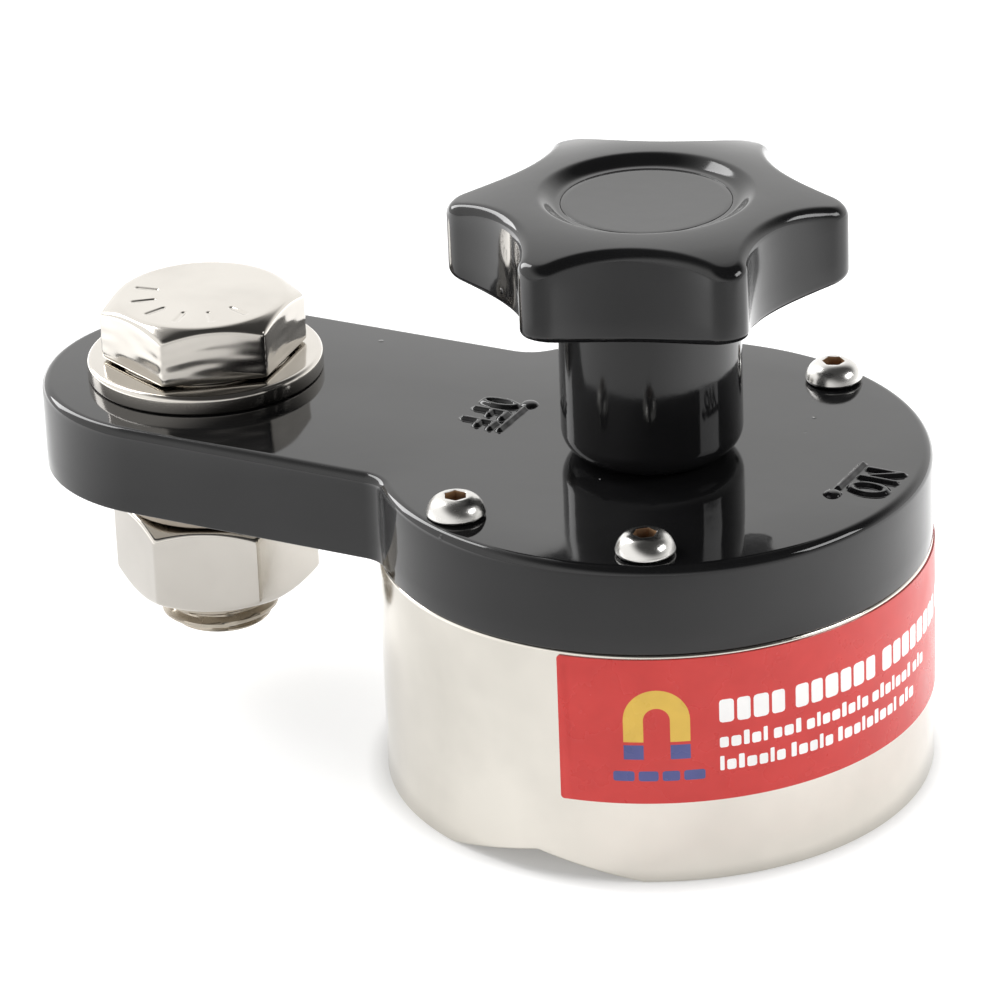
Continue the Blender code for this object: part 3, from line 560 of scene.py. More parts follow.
def word_height(x, y, word, side, bar_reach, bar_from, bar_to, letters_middle):
    """How far a cast switch word stands above the plate at a point."""
    out, along = side * x, side * y
    width = TWO_LETTER_WIDTH if len(word) == 2 else THREE_LETTER_WIDTH
    pitch = width + LETTER_GAP
    letter_reach = bar_reach + STROKE / 2 + BAR_GAP + LETTER_HEIGHT / 2
    bar = ((bar_reach, bar_from + BAR_GAP), (bar_reach, bar_to - BAR_GAP))
    nearest = to_segment(out, along, *bar) + CASTING_WOBBLE
    for i, letter in enumerate(word):
        centre = letters_middle + (i - (len(word) - 1) / 2) * pitch
        nearest = min(nearest, to_letter(letter, along - centre, letter_reach - out, width))
    nearest += CASTING_WOBBLE * noise.noise(Vector((x, y, 0.3)) * 600)
    height = smooth_step((SLOPE_FOOT - nearest) / SLOPE_RUN)
    dot = math.hypot(out - bar_reach, along - bar_from + STROKE + DOT_GAP) / DOT_RADIUS
    dome = math.sqrt(1 - min(dot, 1.0) ** 2)
    height = max(height * (0.93 + 0.07 * noise.noise(Vector((x, y, 1.0)) * 400)), dome)
    return LETTER_RISE * min(height, 1.0)


# Each word: its side of the knob, how far out its bar lies, where the bar
# starts and ends along the plate, and the middle of its letters.
WORDS = (
    ("ON", 1, 27.1 * MM, -2.8 * MM, 5.8 * MM, 0.9 * MM),
    ("OFF", -1, 20.7 * MM, -4.6 * MM, 3.4 * MM, -1.2 * MM),
)


def word_patch(bm, word, side, bar_reach, bar_from, bar_to, letters_middle):
    """A fine grid with the word on it, in a window of the plate's top."""
    near, far = bar_reach - WINDOW_NEAR, bar_reach + WINDOW_FAR
    low, high = bar_from - WINDOW_LOW, bar_to + WINDOW_HIGH
    across = spread(near, far, round((far - near) / PATCH_STEP) + 1)
    along = spread(low, high, round((high - low) / PATCH_STEP) + 1)
    grid = []
    for out in across:
        row = []
        for up in along:
            x, y = side * out, side * up
            z = word_height(x, y, word, side, bar_reach, bar_from, bar_to, letters_middle)
            row.append(bm.verts.new((x, y, COVER_TOP + z)))
        grid.append(row)
    for i in range(len(across) - 1):
        for j in range(len(along) - 1):
            bm.faces.new((grid[i][j], grid[i + 1][j], grid[i + 1][j + 1], grid[i][j + 1]))
    border = [row[0] for row in grid] + grid[-1][1:]
    border += [row[-1] for row in grid[-2::-1]] + grid[0][-2:0:-1]
    return [(v.co.x, v.co.y) for v in border]


def make_cover():
    bm = bmesh.new()
    foot = cup_high.z + 0.05 * MM
    layers = [(inset, foot + rise) for inset, rise in quarter(COVER_FOOT, 4)]
    layers += [(0.0, z) for z in spread(foot + COVER_FOOT, COVER_TOP - COVER_EDGE, 5)[1:-1]]
    layers += [(inset, COVER_TOP - drop) for drop, inset in quarter(COVER_EDGE, 12)]
    loops = []
    for inset, z in layers:
        loops.append([bm.verts.new((x, y, z)) for x, y in cover_outline(inset)])
    for lower, upper in zip(loops, loops[1:]):
        strip(bm, lower, upper)

    holes = [circle_points(-LUG_REACH, 0.0, BOLT_HOLE, 96), circle_points(0.0, 0.0, BUSH_HOLE, 96)]
    for degrees in SCREW_ANGLES:
        angle = math.radians(degrees)
        x, y = SCREW_CIRCLE * math.cos(angle), SCREW_CIRCLE * math.sin(angle)
        holes.append(circle_points(x, y, SCREW_HOLE, 48))
    windows = [word_patch(bm, *word) for word in WORDS]
    for z, inset, openings in (
        (COVER_TOP, COVER_EDGE, holes + windows),
        (foot, COVER_FOOT, holes),
    ):
        outline = cover_outline(inset)
        verts, faces = fill([outline] + openings)
        made = [bm.verts.new((x, y, z)) for x, y in verts]
        for face in faces:
            x, y = middle_of(face, verts)
            if inside(x, y, outline) and not any(inside(x, y, hole) for hole in openings):
                bm.faces.new([made[i] for i in face])
    for hole in holes:
        low = [bm.verts.new((x, y, foot)) for x, y in hole]
        high = [bm.verts.new((x, y, COVER_TOP)) for x, y in hole]
        strip(bm, high, low)
    for vert in [v for v in bm.verts if not v.link_faces]:
        bm.verts.remove(vert)
    shift(bm, KNOB_X)
    make_piece("cover", bm, [cover_enamel], "holder", ["cover_plate"])


# --- Outlines for hexagons and sockets ---


def soft_hexagon(half_flats, sharpness):
    """A hexagon with a corner at angle 0; the sharpness sets how little its corners round."""

    def outline(angle):
        total = 0.0
        for k in range(6):
            lean = math.cos(angle - math.radians(30 + 60 * k))
            if lean > 0.3:
                total += lean**sharpness
        return half_flats / total ** (1 / sharpness)

    return outline


# --- Cover screws ---

SCREW_SEAT = COVER_TOP + 0.2 * MM
SCREW_SHANK = 2.0 * MM
SCREW_LIP = 0.66 * MM
SCREW_EDGE = 0.32 * MM
SOCKET = 1.3 * MM
SOCKET_SHARPNESS = 90
SOCKET_WALL = ((-0.03, -0.05), (0.0, -0.14), (0.02, -0.9), (0.05, -1.25))
SOCKET_FLOOR = -1.5 * MM
SOCKET_RIM = SOCKET / math.cos(math.radians(30)) + 0.08 * MM
SCREW_CROWN = SOCKET_RIM + 0.24 * MM


def screw_rings(foot, head, top):
    """A button-head screw; its socket's rings come last, and their number is returned."""
    rings = rounded(
        [
            (SCREW_SHANK - 0.5 * MM, foot, 0),
            (SCREW_SHANK, foot + 0.5 * MM, 0.1 * MM),
            (SCREW_SHANK, SCREW_SEAT, 0.1 * MM),
            (head - 0.25 * MM, SCREW_SEAT, 0.0),
        ],
        3,
    )
    for i in range(6):
        lean = math.radians(-70 + 100 * i / 5)
        drop = SCREW_EDGE * (1 - math.sin(lean))
        rings.append((head - SCREW_EDGE * (1 - math.cos(lean)), SCREW_SEAT + SCREW_LIP - drop))
    start = Vector(rings[-1])
    shoulder_z = SCREW_SEAT + SCREW_LIP + 0.82 * (top - SCREW_SEAT - SCREW_LIP)
    shoulder = Vector((head - 0.24 * (head - SCREW_CROWN), shoulder_z))
    end = Vector((SCREW_CROWN, top - 0.015 * MM))
    for i in range(1, 17):
        t = i / 16
        rings.append(tuple(start * (1 - t) ** 2 + shoulder * (2 * t * (1 - t)) + end * t**2))
    rings.append((SCREW_CROWN - 0.08 * MM, top))
    rings.append((SOCKET_RIM, top))
    outside = len(rings)
    for inset, z in SOCKET_WALL:
        rings.append((soft_hexagon(SOCKET - inset * MM, SOCKET_SHARPNESS), top + z * MM))
    rings.append((soft_hexagon(SOCKET * 0.4, SOCKET_SHARPNESS), top + SOCKET_FLOOR))
    return rings, outside


def make_screws():
    """The four screws, each with its socket left at an angle of its own."""
    for number in range(1, 5):
        low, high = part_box(f"cover_screw_{number}")
        rings, outside = screw_rings(low.z, (high.x - low.x) / 2, high.z + 0.25 * MM)
        bm = turned(rings, even_angles(120), mark=lambda i: 1 if i >= outside else 0)
        shift(bm, (low.x + high.x) / 2, (low.y + high.y) / 2, 17.0 + 41.0 * number)
        name, node = f"cover_screw_head_{number}", f"cover_screw_{number}"
        make_piece(name, bm, [stainless, socket_brown], "holder", [node])


# --- Star knob ---

KNOB_HEADING = 20.6
HUB_RADIUS = 11.75 * MM
HUB_FOOT = 3.3 * MM
LOBES = 6
LOBE_REACH = 25.5 * MM
LOBE_CORNER = 3.0 * MM
FLUTE_REACH = 19.2 * MM
UNDERSIDE_Z = 66.35 * MM
UNDERSIDE_START = 13.0 * MM
LOBE_BEND = 12.5
CREST_RADIUS = 14.0 * MM
DISH_RADIUS = 11.4 * MM
LOWER_EDGE = 1.0 * MM
UPPER_EDGE = 1.4 * MM
CAP_SEAM = 0.02 * MM
SEAM_CORNER = 0.12 * MM
SCREW_POCKET = 8.8 * MM
POCKET_FLOOR = 70.5 * MM
SPINDLE_BORE = 6.6 * MM


def star(inset):
    """The knob's rim: convex lobes joined by tangent flutes, moved in by inset."""
    half_sector = math.pi / LOBES
    lobe_centre = LOBE_REACH - LOBE_CORNER
    along = lobe_centre * math.cos(half_sector)
    flute = (LOBE_CORNER**2 - lobe_centre**2 - FLUTE_REACH**2 + 2 * along * FLUTE_REACH) / (
        2 * (FLUTE_REACH - along - LOBE_CORNER)
    )
    flute_centre = FLUTE_REACH + flute
    lean = math.atan2(
        flute_centre * math.sin(half_sector), flute_centre * math.cos(half_sector) - lobe_centre
    )
    touch = math.atan2(
        (LOBE_CORNER - inset) * math.sin(lean),
        lobe_centre + (LOBE_CORNER - inset) * math.cos(lean),
    )

    def outline(angle):
        off_lobe = abs((angle + half_sector) % (2 * half_sector) - half_sector)
        if off_lobe <= touch:
            sideways = lobe_centre * math.sin(off_lobe)
            return lobe_centre * math.cos(off_lobe) + math.sqrt(
                (LOBE_CORNER - inset) ** 2 - sideways**2
            )
        off_flute = half_sector - off_lobe
        sideways = flute_centre * math.sin(off_flute)
        return flute_centre * math.cos(off_flute) - math.sqrt((flute + inset) ** 2 - sideways**2)

    return outline


def between(first, second, share):
    """An outline part of the way from one outline, or a circle, to another."""

    def outline(angle):
        a = first(angle) if callable(first) else first
        return a * (1 - share) + second(angle) * share

    return outline


def knob_angles():
    """Angles crowded towards the lobes, where the rim turns most."""
    return [angle - 0.075 * math.sin(LOBES * angle) for angle in even_angles(420)]


def make_knob():
    crest_z = knob_high.z
    dish_z = cap_high.z

    def underside(radius, angle=0.0):
        return UNDERSIDE_Z + LOBE_BEND * max(radius - UNDERSIDE_START, 0.0) ** 2

    def crown(radius, angle=0.0):
        return crest_z - LOBE_BEND * max(radius - CREST_RADIUS, 0.0) ** 2

    hub_top = underside(HUB_RADIUS)
    root = HUB_RADIUS + 2.0 * MM
    rings = rounded(
        [
            (SPINDLE_BORE, knob_low.z, 0),
            (HUB_RADIUS, knob_low.z, HUB_FOOT),
            (HUB_RADIUS, hub_top, 1.5 * MM),
            (root, hub_top, 0),
        ],
        12,
    )
    for share in (0.2, 0.4, 0.6, 0.8, 0.92):
        rings.append((between(root, star(LOWER_EDGE), share), underside))
    for inset, rise in quarter(LOWER_EDGE, 6):
        rings.append((star(inset), lambda r, a, rise=rise: underside(r) + rise))
    for share in (0.25, 0.5, 0.75):

        def wall(radius, angle, share=share):
            low, high = underside(radius) + LOWER_EDGE, crown(radius) - UPPER_EDGE
            return low + (high - low) * share

        rings.append((star(0.0), wall))
    for drop, inset in quarter(UPPER_EDGE, 12):
        rings.append((star(inset), lambda r, a, drop=drop: crown(r) - drop))
    for i in range(1, 14):
        rings.append((between(CREST_RADIUS, star(UPPER_EDGE), 1 - i / 14), crown))
    steps = 16
    for i in range(steps + 1):
        share = i / steps
        reach = CREST_RADIUS + (DISH_RADIUS - CREST_RADIUS) * share
        rings.append((reach, crest_z - (crest_z - dish_z) * smooth_step(share)))
    cap_radius = (cap_high.x - cap_low.x) / 2
    recess = cap_radius + CAP_SEAM
    seat = cap_low.z - 0.3 * MM
    rings += rounded(
        [
            (DISH_RADIUS, dish_z, 0),
            (recess, dish_z, SEAM_CORNER),
            (recess, seat, 0),
            (SCREW_POCKET, seat, 0),
            (SCREW_POCKET, POCKET_FLOOR, 0),
            (SPINDLE_BORE, POCKET_FLOOR, 0),
        ],
        3,
    )[1:]
    bm = turned(rings, knob_angles(), through=True)
    shift(bm, KNOB_X, turn=KNOB_HEADING)
    make_piece("knob", bm, [knob_enamel], "rotor", ["star_knob"])

    disc = [(0.5 * MM, cap_low.z)] + rounded(
        [
            (cap_radius * 0.5, cap_low.z, 0),
            (cap_radius, cap_low.z, 0.2 * MM),
            (cap_radius, cap_high.z, SEAM_CORNER),
            (cap_radius * 0.93, cap_high.z, 0),
        ],
        4,
    )
    for i in range(1, 12):
        share = 0.93 * (1 - i / 12)
        disc.append((cap_radius * share, cap_high.z - 0.05 * MM * (1 - (share / 0.93) ** 2)))
    bm = turned(disc, even_angles(240))
    shift(bm, KNOB_X)
    make_piece("knob_cap_disc", bm, [knob_enamel], "rotor", ["knob_cap"])


# --- Cable terminal ---

HALF_FLATS = 12.0 * MM
CROWN_RADIUS = 11.4 * MM
CHAMFER = math.tan(math.radians(30))
HEX_SHARPNESS = 64
NUT_SHARPNESS = 120
HEX_EDGE = 0.45 * MM
HEAD_FACE = HALF_FLATS - 0.4 * MM
HEAD_FOOT = HEAD_SEAT + 0.2 * MM
CROWN_BLEND = 0.6 * MM
THREAD_RADIUS = 8.0 * MM
THREAD_DEPTH = 1.1 * MM
PITCH = 2.0 * MM
BOLT_HEADING = 36.1
NUT_HEADING = 23.4
TIP_RADIUS = 6.4 * MM
TIP_RUN = 1.6 * MM
THREAD_TOP = 36.0 * MM
THREAD_STEP = 0.22 * MM
HEAD_WAVE = 0.085 * MM
NUT_WAVE = 0.012 * MM
TICK_ANGLES = tuple(188.0 + 30.0 * i for i in range(6))
TICK_START = 6.4 * MM
TICK_END = 9.2 * MM
TICK_HALF_WIDTH = 0.5 * MM
TICK_SLOPE = 0.36 * MM
TICK_DEPTH = 0.17 * MM
WASHER_BORE = 8.5 * MM
NUT_BORE = THREAD_RADIUS + 0.3 * MM
SLIT_HALF_ANGLE = 3.8
SLIT_HEADING = 70
SLIT_SKEW = 0.35 * MM


def cone(top, sign):
    """Height on the 30 degree chamfer cone of a hexagon, blended into its flat crown."""

    def height(radius, angle=0.0):
        over = radius - CROWN_RADIUS
        if over >= CROWN_BLEND:
            return top - sign * CHAMFER * over
        return top - sign * CHAMFER * max(over + CROWN_BLEND, 0.0) ** 2 / (4 * CROWN_BLEND)

    return height


def forged(depth, level, sharpness=HEX_SHARPNESS):
    """A hexagon's outline with shallow waves that run along its faces."""
    plain = soft_hexagon(HALF_FLATS, sharpness)

    def outline(angle):
        radius = plain(angle)
        where = Vector((radius * math.cos(angle) * 190, radius * math.sin(angle) * 190, level * 900))
        return radius + depth * noise.noise(where)

    return outline


def hex_top(top, sign, sharpness=HEX_SHARPNESS):
    """Rings from a hexagon's side over its chamfer to the crown, for sign 1 upwards."""
    surface = cone(top, sign)
    rings = []
    for drop, inset in quarter(HEX_EDGE, 5):
        outline = soft_hexagon(HALF_FLATS - inset, sharpness)
        rings.append((outline, lambda r, a, drop=drop: surface(r) - sign * drop))
    rim = CROWN_RADIUS + 0.1 * MM
    rings.append((between(rim, soft_hexagon(HALF_FLATS - HEX_EDGE, sharpness), 0.5), surface))
    rings.append((rim, surface))
    for inset in (0.05, 0.2, 0.35, 0.5, 0.62):
        rings.append((CROWN_RADIUS - inset * MM, surface))
    return rings


def thread(z, major, depth):
    """A thread's radius round the bolt at height z."""

    def outline(angle):
        phase = (z / PITCH - angle / (2 * math.pi)) % 1.0
        flank = abs(phase - 0.5) * 2
        return major - depth * (1 - smooth_step((flank - 0.12) / 0.68))

    return outline


def make_bolt():
    """The bolt from its flat tip up: thread, plain shank, washer face and head."""
    rings = [(5.4 * MM, bolt_low.z), (5.9 * MM, bolt_low.z + 0.08 * MM)]
    z = bolt_low.z + 0.25 * MM
    while z < THREAD_TOP:
        rise = z - bolt_low.z
        major = min(THREAD_RADIUS, TIP_RADIUS + rise * (THREAD_RADIUS - TIP_RADIUS) / TIP_RUN)
        depth = min(THREAD_DEPTH, max(0.0, major - TIP_RADIUS + 0.1 * MM))
        depth *= min(1.0, (THREAD_TOP - z) / (1.5 * MM))
        rings.append((thread(z, major, depth), z))
        z += THREAD_STEP
    shank = THREAD_RADIUS - 0.05 * MM
    rings += [(shank, THREAD_TOP), (shank, HEAD_SEAT)]
    shank_rings = len(rings)
    rings += [(HEAD_FACE, HEAD_SEAT), (HEAD_FACE, HEAD_FOOT)]
    for inset, rise in quarter(HEX_EDGE, 4):
        rings.append((soft_hexagon(HALF_FLATS - inset, HEX_SHARPNESS), HEAD_FOOT + rise))
    top = bolt_high.z
    for share in spread(0.04, 0.96, 22):

        def side(radius, angle, share=share):
            low = HEAD_FOOT + HEX_EDGE
            return low + (cone(top, 1)(radius) - HEX_EDGE - low) * share

        rings.append((forged(HEAD_WAVE * (1 - share) ** 0.5, share * 6.0 * MM), side))
    rings += hex_top(top, 1)

    def stamped(radius, angle):
        depth = 0.0
        for degrees in TICK_ANGLES:
            lean = math.radians(degrees - BOLT_HEADING)
            x, y = radius * math.cos(angle - lean), radius * math.sin(angle - lean)
            away = to_segment(x, y, (TICK_START, 0.0), (TICK_END, 0.0))
            depth = max(depth, smooth_step((TICK_HALF_WIDTH - away) / TICK_SLOPE))
        return top - TICK_DEPTH * depth

    for radius in spread(CROWN_RADIUS - 0.75 * MM, 0.25 * MM, 64):
        rings.append((radius, stamped))
    bm = turned(rings, even_angles(300), mark=lambda index: 1 if index < shank_rings else 0)
    shift(bm, BOLT_X, turn=BOLT_HEADING)
    finishes = [bolt_plate, thread_steel]
    make_piece("bolt", bm, finishes, "terminal_bolt", ["terminal_bolt"])


def make_nut():
    low, high = nut_low.z, nut_high.z
    mouth = [(NUT_BORE, 0.9 * MM), (NUT_BORE + 0.6 * MM, 0.1 * MM), (NUT_BORE + 0.8 * MM, 0.0)]
    rings = [(radius, low + inward) for radius, inward in mouth]
    rings += hex_top(low, -1, NUT_SHARPNESS)[::-1]
    for share in spread(0.04, 0.96, 22):

        def side(radius, angle, share=share):
            bottom = cone(low, -1)(radius) + HEX_EDGE
            return bottom + (cone(high, 1)(radius) - HEX_EDGE - bottom) * share

        rings.append((forged(NUT_WAVE, 1.0 + share * 2.7 * MM, NUT_SHARPNESS), side))
    rings += hex_top(high, 1, NUT_SHARPNESS)
    rings += [(radius, high - inward) for radius, inward in mouth[::-1]]
    bm = turned(rings, even_angles(360), through=True)
    shift(bm, BOLT_X, turn=NUT_HEADING)
    make_piece("nut", bm, [bolt_plate], "terminal_nut", ["terminal_nut"])


def make_washer(name, node, body, low, high, foot):
    outer = (high.x - low.x) / 2
    rings = rounded(
        [
            (WASHER_BORE, foot, 0.2 * MM),
            (outer, foot, 0.3 * MM),
            (outer, high.z, 0.7 * MM),
            (WASHER_BORE, high.z, 0.35 * MM),
        ],
        8,
        closed=True,
    )
    bm = turned(rings, even_angles(256), through=True)
    shift(bm, BOLT_X)
    make_piece(name, bm, [bolt_plate], body, [node])


def make_spring_washer():
    """A split ring of square section whose ends lie a little out of line."""
    bm = bmesh.new()
    inner_r, outer = WASHER_BORE, (spring_high.x - spring_low.x) / 2
    bevel = 0.2 * MM
    section = [
        (inner_r + bevel, 0.0),
        (outer - bevel, 0.0),
        (outer, 0.06),
        (outer, 0.94),
        (outer - bevel, 1.0),
        (inner_r + bevel, 1.0),
        (inner_r, 0.94),
        (inner_r, 0.06),
    ]
    loops = []
    count = 150
    for i in range(count + 1):
        share = i / count
        angle = math.radians(SLIT_HEADING + SLIT_HALF_ANGLE + (360 - 2 * SLIT_HALF_ANGLE) * share)
        low = spring_low.z + SLIT_SKEW * share
        high = spring_high.z - SLIT_SKEW * (1 - share)
        loop = []
        for radius, level in section:
            x, y = radius * math.cos(angle), radius * math.sin(angle)
            loop.append(bm.verts.new((x, y, low + (high - low) * level)))
        loops.append(loop)
    for first, second in zip(loops, loops[1:]):
        strip(bm, first, second)
    bm.faces.new(loops[0])
    bm.faces.new(reversed(loops[-1]))
    shift(bm, BOLT_X)
    name, node = "split_spring_washer", "spring_washer"
    make_piece(name, bm, [spring_steel_and_painted_shade], "terminal_nut", [node])


# --- Label: a red sticker with a plain pictogram and blocks in place of words ---

# The sticker's ends are in degrees round the cup from +X.
LABEL_START = -84.2
LABEL_END = 44.0
LABEL_CORNER = 0.5 * MM
LABEL_BASE = CUP_RADIUS + 0.04 * MM
LABEL_FACE = CUP_RADIUS + 0.2 * MM
LABEL_COLUMNS = 96
RED, WHITE, YELLOW, BLUE = range(4)

# Places on the sticker run from its left end and down from its top.
SIGN_LEFT = 8.3 * MM
SIGN_DROP = 4.2 * MM
SIGN_WIDTH = 8.4 * MM
CAPTION = ((6.9, 9.6), (10.1, 12.6), (13.1, 15.3), (15.8, 18.5))
CAPTION_TOP = 15.5 * MM
CAPTION_FOOT = 16.9 * MM
TEXT_LEFT = 20.4 * MM
TITLE_WIDTHS = (1.9 * MM, 1.75 * MM, 2.05 * MM, 1.8 * MM)
LINE_HEIGHTS = (1.45 * MM, 1.45 * MM, 2.0 * MM, 1.45 * MM, 2.0 * MM)
LINE_WIDTHS = (1.15 * MM, 1.3 * MM, 0.75 * MM, 1.2 * MM, 0.55 * MM)


def rounded_box(left, low, right, high, corner, steps):
    """Outline of a rectangle with rounded corners."""
    points = []
    for x, y, first in (
        (right - corner, high - corner, 0),
        (left + corner, high - corner, 90),
        (left + corner, low + corner, 180),
        (right - corner, low + corner, 270),
    ):
        points += arc(x, y, corner, first, first + 90, steps)
    return points


def magnet_sign(left, top, width):
    """A horseshoe magnet: a bent bar and two tips of another colour."""
    middle = left + width / 2
    thick = 0.3 * width
    outer, inner_r = width / 2, width / 2 - thick
    centre = top - outer
    leg = 0.36 * width
    body = arc(middle, centre, outer, 0, 180, 24)
    body += [(left, centre - leg), (left + thick, centre - leg)]
    body += arc(middle, centre, inner_r, 180, 0, 18)
    body += [(left + width - thick, centre - leg), (left + width, centre - leg)]
    shapes = [(body, YELLOW)]
    tip_top = centre - leg - 0.05 * width
    tip_foot = tip_top - 0.8 * thick
    for x in (left, left + width - thick):
        tip = [(x, tip_foot), (x + thick, tip_foot), (x + thick, tip_top), (x, tip_top)]
        shapes.append((tip, BLUE))
    return shapes


def blocks(start, end, low, heights, widths, gap, word_gap, words):
    """A row of small white blocks, grouped like words."""
    shapes = []
    x = start
    index = 0
    for count in words:
        for _ in range(count):
            width = widths[index % len(widths)]
            if x + width > end:
                return shapes
            height = heights[index % len(heights)]
            corner = min(width, height) * 0.22
            shapes.append((rounded_box(x, low, x + width, low + height, corner, 2), WHITE))
            x += width + gap
            index += 1
        x += word_gap
    return shapes


def make_label():
    length = math.radians(LABEL_END - LABEL_START) * LABEL_FACE
    top = label_high.z
    outline = rounded_box(0.0, label_low.z, length, top, LABEL_CORNER, 6)
    shapes = magnet_sign(SIGN_LEFT, top - SIGN_DROP, SIGN_WIDTH)
    for left, right in CAPTION:
        box = rounded_box(left * MM, top - CAPTION_FOOT, right * MM, top - CAPTION_TOP, 0.3 * MM, 2)
        shapes.append((box, BLUE))
    end = length - 2.5 * MM
    # Each row: the blocks' heights and widths, the gaps in and between words,
    # and how many blocks each word has.
    title = ((3.2 * MM,), TITLE_WIDTHS, 0.42 * MM, 1.1 * MM, (4, 6, 8, 6))
    first_line = (LINE_HEIGHTS, LINE_WIDTHS, 0.34 * MM, 0.5 * MM, (5, 3, 8, 7, 3))
    second_line = (LINE_HEIGHTS[::-1], LINE_WIDTHS[::-1], 0.34 * MM, 0.5 * MM, (7, 5, 9, 3))
    for drop, row in ((9.3 * MM, title), (12.8 * MM, first_line), (16.0 * MM, second_line)):
        shapes += blocks(TEXT_LEFT, end, top - drop, *row)
    lines = []
    for i in range(1, LABEL_COLUMNS):
        x = length * i / LABEL_COLUMNS
        lines.append(((x, label_low.z + 1e-5), (x, top - 1e-5)))
    verts, faces = fill([outline] + [shape for shape, _ in shapes], lines)
    boxes = []
    for shape, ink in shapes:
        xs, ys = [p[0] for p in shape], [p[1] for p in shape]
        boxes.append((min(xs), max(xs), min(ys), max(ys), shape, ink))

    bm = bmesh.new()
    sides = []
    for radius in (LABEL_FACE, LABEL_BASE):
        side = []
        for x, z in verts:
            angle = math.radians(LABEL_START) + x / LABEL_FACE
            side.append(bm.verts.new((radius * math.cos(angle), radius * math.sin(angle), z)))
        sides.append(side)
    border = {}
    for face in faces:
        x, y = middle_of(face, verts)
        if not inside(x, y, outline):
            continue
        ink = RED
        for left, right, low, high, shape, colour in boxes:
            if left < x < right and low < y < high and inside(x, y, shape):
                ink = colour
                break
        bm.faces.new([sides[0][i] for i in face]).material_index = ink
        bm.faces.new([sides[1][i] for i in reversed(face)])
        for i in range(len(face)):
            first, last = face[i], face[(i + 1) % len(face)]
            if (last, first) in border:
                del border[(last, first)]
            else:
                border[(first, last)] = True
    for first, last in border:
        bm.faces.new((sides[0][last], sides[0][first], sides[1][first], sides[1][last]))
    for vert in [v for v in bm.verts if not v.link_faces]:
        bm.verts.remove(vert)
    shift(bm, KNOB_X)
    inks = [label_red, print_white, print_yellow, print_blue]
    make_piece("sticker", bm, inks, "holder", ["label"])


# --- CAD pieces that stay, with their finishes ---


def dress_inner_pieces():
    finishes = {
        "lower_magnet": magnet_plate,
        "upper_magnet": magnet_plate,
        "slip_disc": slip_plastic,
        "rotor_carrier": cast_alloy,
        "drive_pin_1": hidden_steel,
        "drive_pin_2": hidden_steel,
        "stop_pin": hidden_steel,
        "spindle": hidden_steel,
        "knob_screw": hidden_steel,
        "knob_screw_washer": hidden_steel,
        "thrust_washer": bearing_bronze,
        "shaft_bush": bearing_bronze,
        "shaft_seal": seal_rubber,
    }
    for name, mat in finishes.items():
        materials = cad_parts[name].data.materials
        materials.clear()
        materials.append(mat)


# --- Floor, light and camera ---

# The camera's place is found from the photo: angles in degrees, lens in mm.
CAMERA_AZIMUTH = 28.031
CAMERA_ELEVATION = 25.004
CAMERA_ROLL = -2.232
CAMERA_DISTANCE = 0.718089
CAMERA_LENS = 200.037
AIM_RIGHT = -0.019914
AIM_HEIGHT = 0.037364

# The floor's glow is the studio's fill light, painted onto the floor.  At the cup's foot the glow is
# dimmed as a painted contact shadow.  Its pools are brighter to the sides and behind and dimmer in
# front: painted light and shade for the reflections in the object.  Each row goes between two distances
# from the cup's axis and from one glow to another; the distances run to the camera's right, or for the
# front and the back towards the camera.
FLOOR_WHITE = (0.78, 0.78, 0.78)
# Painted contact shadow: the floor's glow falls to this share at the cup's foot.
PAINTED_SHADOW_AT_CUP = (CUP_RADIUS - 1 * MM, CUP_RADIUS + 3 * MM, 0.3, 1.0)
GLOW_MIDDLE = (-0.10, 0.0, 0.44, 0.60)
GLOW_RIGHT = (0.0, 0.10, 0.0, 0.64)
GLOW_LEFT = (-0.13, -0.24, 0.0, 1.2)
GLOW_FRONT = (0.08, 0.17, 1.0, 0.35)
GLOW_BACK = (-0.12, -0.30, 1.0, 1.3)

# The studio's walls are bright, and fade to a dark ceiling that leans to +X.
BACKDROP_STRENGTH = 1.1
WALL_STRENGTH = 1.53
WALL_TINT = (1.0, 0.995, 0.985)
DARK_CEILING = (0.44, -0.10, 0.89)
WALL_FADE = ((0.0, 1.0), (0.32, 1.0), (0.47, 0.70), (0.60, 0.28), (0.72, 0.05), (1.0, 0.04))

# Each softbox: name, degrees round from the camera, elevation, width, height
# and power.
LAMP_DISTANCE = 1.2
SOFTBOXES = (
    ("left_softbox", -130.0, 36.0, 0.36, 0.9, 8.5),
    ("right_softbox", 76.0, 30.0, 0.55, 0.34, 4.6),
)


def along_axis(mat, place, axis):
    """How far a place or direction reaches along an axis."""
    node = add_node(mat, "ShaderNodeVectorMath", operation="DOT_PRODUCT")
    node.inputs[1].default_value = axis
    link(mat, place, node.inputs[0])
    return node.outputs["Value"]


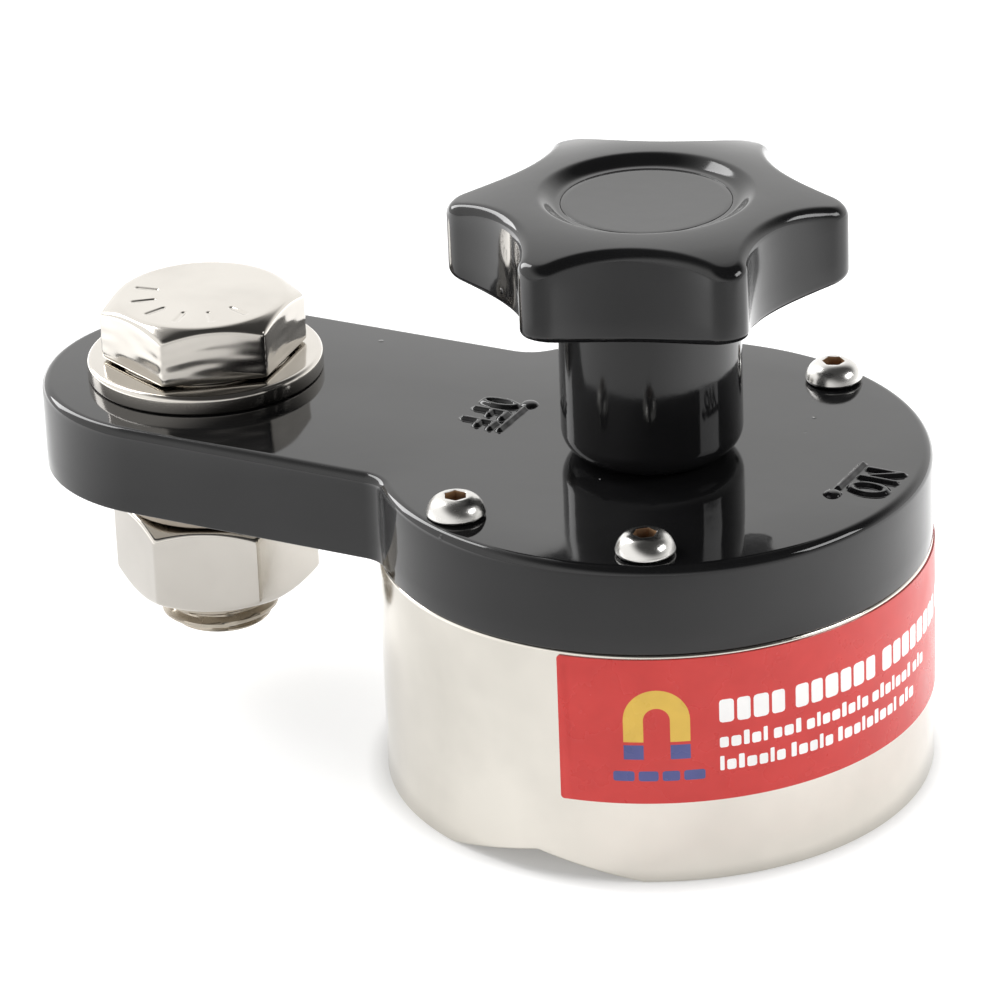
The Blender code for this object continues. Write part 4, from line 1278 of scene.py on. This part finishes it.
def make_floor():
    bm = bmesh.new()
    bmesh.ops.create_grid(bm, x_segments=8, y_segments=8, size=4.0)
    mesh = bpy.data.meshes.new("floor")
    bm.to_mesh(mesh)
    bm.free()
    floor = add_object("floor", mesh)
    floor.location = (0.0, 0.0, cad_low.z)
    mat = new_material("floor_white", FLOOR_WHITE, 0.8)
    shader_of(mat).inputs["Emission Color"].default_value = (1.0, 1.0, 1.0, 1.0)
    place = place_of(mat, offset=(-KNOB_X, 0.0, 0.0))
    away = add_node(mat, "ShaderNodeVectorMath", operation="LENGTH")
    link(mat, place, away.inputs[0])
    # The glow is dimmed near the cup's foot: a painted contact shadow.
    near = remap(mat, away.outputs["Value"], *PAINTED_SHADOW_AT_CUP)
    heading = math.radians(CAMERA_AZIMUTH)
    across = along_axis(mat, place, (math.cos(heading), math.sin(heading), 0.0))
    along = along_axis(mat, place, (math.sin(heading), -math.cos(heading), 0.0))
    middle, right, left = (remap(mat, across, *row) for row in (GLOW_MIDDLE, GLOW_RIGHT, GLOW_LEFT))
    sides = math_node(mat, "ADD", middle, math_node(mat, "ADD", right, left))
    front, back = (remap(mat, along, *row) for row in (GLOW_FRONT, GLOW_BACK))
    depths = math_node(mat, "MULTIPLY", front, back)
    glow = math_node(mat, "MULTIPLY", near, math_node(mat, "MULTIPLY", sides, depths))
    link(mat, glow, shader_of(mat).inputs["Emission Strength"])
    tone = clouds(mat, 2.0, 2.0)
    set_colour(mat, tone, [(0.3, (0.775, 0.775, 0.775)), (0.7, (0.785, 0.785, 0.785))])
    mesh.materials.append(mat)


def view_from(azimuth, elevation):
    """Direction from the object to a camera or lamp, both angles in degrees."""
    az, el = math.radians(azimuth), math.radians(elevation)
    return Vector((math.sin(az) * math.cos(el), -math.cos(az) * math.cos(el), math.sin(el)))


def make_camera():
    heading, roll = math.radians(CAMERA_AZIMUTH), math.radians(CAMERA_ROLL)
    back = view_from(CAMERA_AZIMUTH, CAMERA_ELEVATION)
    right = Vector((math.cos(heading), math.sin(heading), 0.0))
    up = back.cross(right)
    turned_right = right * math.cos(roll) + up * math.sin(roll)
    turned_up = up * math.cos(roll) - right * math.sin(roll)
    aim = Vector((KNOB_X, 0.0, AIM_HEIGHT)) + right * AIM_RIGHT
    matrix = Matrix((turned_right, turned_up, back)).transposed().to_4x4()
    matrix.translation = aim + back * CAMERA_DISTANCE
    data = bpy.data.cameras.new("camera")
    data.sensor_width = 36.0
    data.lens = CAMERA_LENS
    data.clip_start = 0.01
    data.clip_end = 50.0
    camera = add_object("camera", data)
    camera.matrix_world = matrix
    bpy.context.scene.camera = camera


def softbox(name, azimuth, elevation, width, height, power):
    """A rectangular lamp aimed at the object."""
    back = view_from(azimuth, elevation)
    data = bpy.data.lights.new(name, "AREA")
    data.shape = "RECTANGLE"
    data.size = width
    data.size_y = height
    data.energy = power
    lamp = add_object(name, data)
    lamp.location = Vector((0.0, 0.0, 0.04)) + back * LAMP_DISTANCE
    lamp.rotation_euler = back.to_track_quat("Z", "Y").to_euler()


def make_world():
    """Studio walls for light and reflections, and plain white behind the object."""
    world = bpy.data.worlds.new("studio")
    world.use_nodes = True
    nodes = world.node_tree.nodes
    plain = nodes["Background"]
    plain.inputs["Color"].default_value = (1.0, 1.0, 1.0, 1.0)
    plain.inputs["Strength"].default_value = BACKDROP_STRENGTH
    walls = add_node(world, "ShaderNodeBackground")
    walls.inputs["Strength"].default_value = WALL_STRENGTH
    where = add_node(world, "ShaderNodeTexCoord")
    height = along_axis(world, where.outputs["Generated"], DARK_CEILING)
    stops = [(position, [level * tint for tint in WALL_TINT]) for position, level in WALL_FADE]
    link(world, ramp(world, height, stops), walls.inputs["Color"])
    path = add_node(world, "ShaderNodeLightPath")
    mix = add_node(world, "ShaderNodeMixShader")
    link(world, path.outputs["Is Camera Ray"], mix.inputs["Fac"])
    link(world, walls.outputs["Background"], mix.inputs[1])
    link(world, plain.outputs["Background"], mix.inputs[2])
    link(world, mix.outputs["Shader"], nodes["World Output"].inputs["Surface"])
    bpy.context.scene.world = world


def make_light():
    make_world()
    for name, azimuth, *shape in SOFTBOXES:
        softbox(name, CAMERA_AZIMUTH + azimuth, *shape)
    bpy.context.scene.view_settings.view_transform = "Standard"


make_camera()
make_cup()
make_cover()
make_screws()
make_knob()
make_bolt()
make_nut()
make_washer("bolt_washer", "terminal_washer", "holder", washer_low, washer_high, WASHER_FOOT)
make_washer(
    "nut_washer", "lug_washer", "terminal_nut", lug_washer_low, lug_washer_high, lug_washer_low.z
)
make_spring_washer()
make_label()
dress_inner_pieces()
make_floor()
make_light()
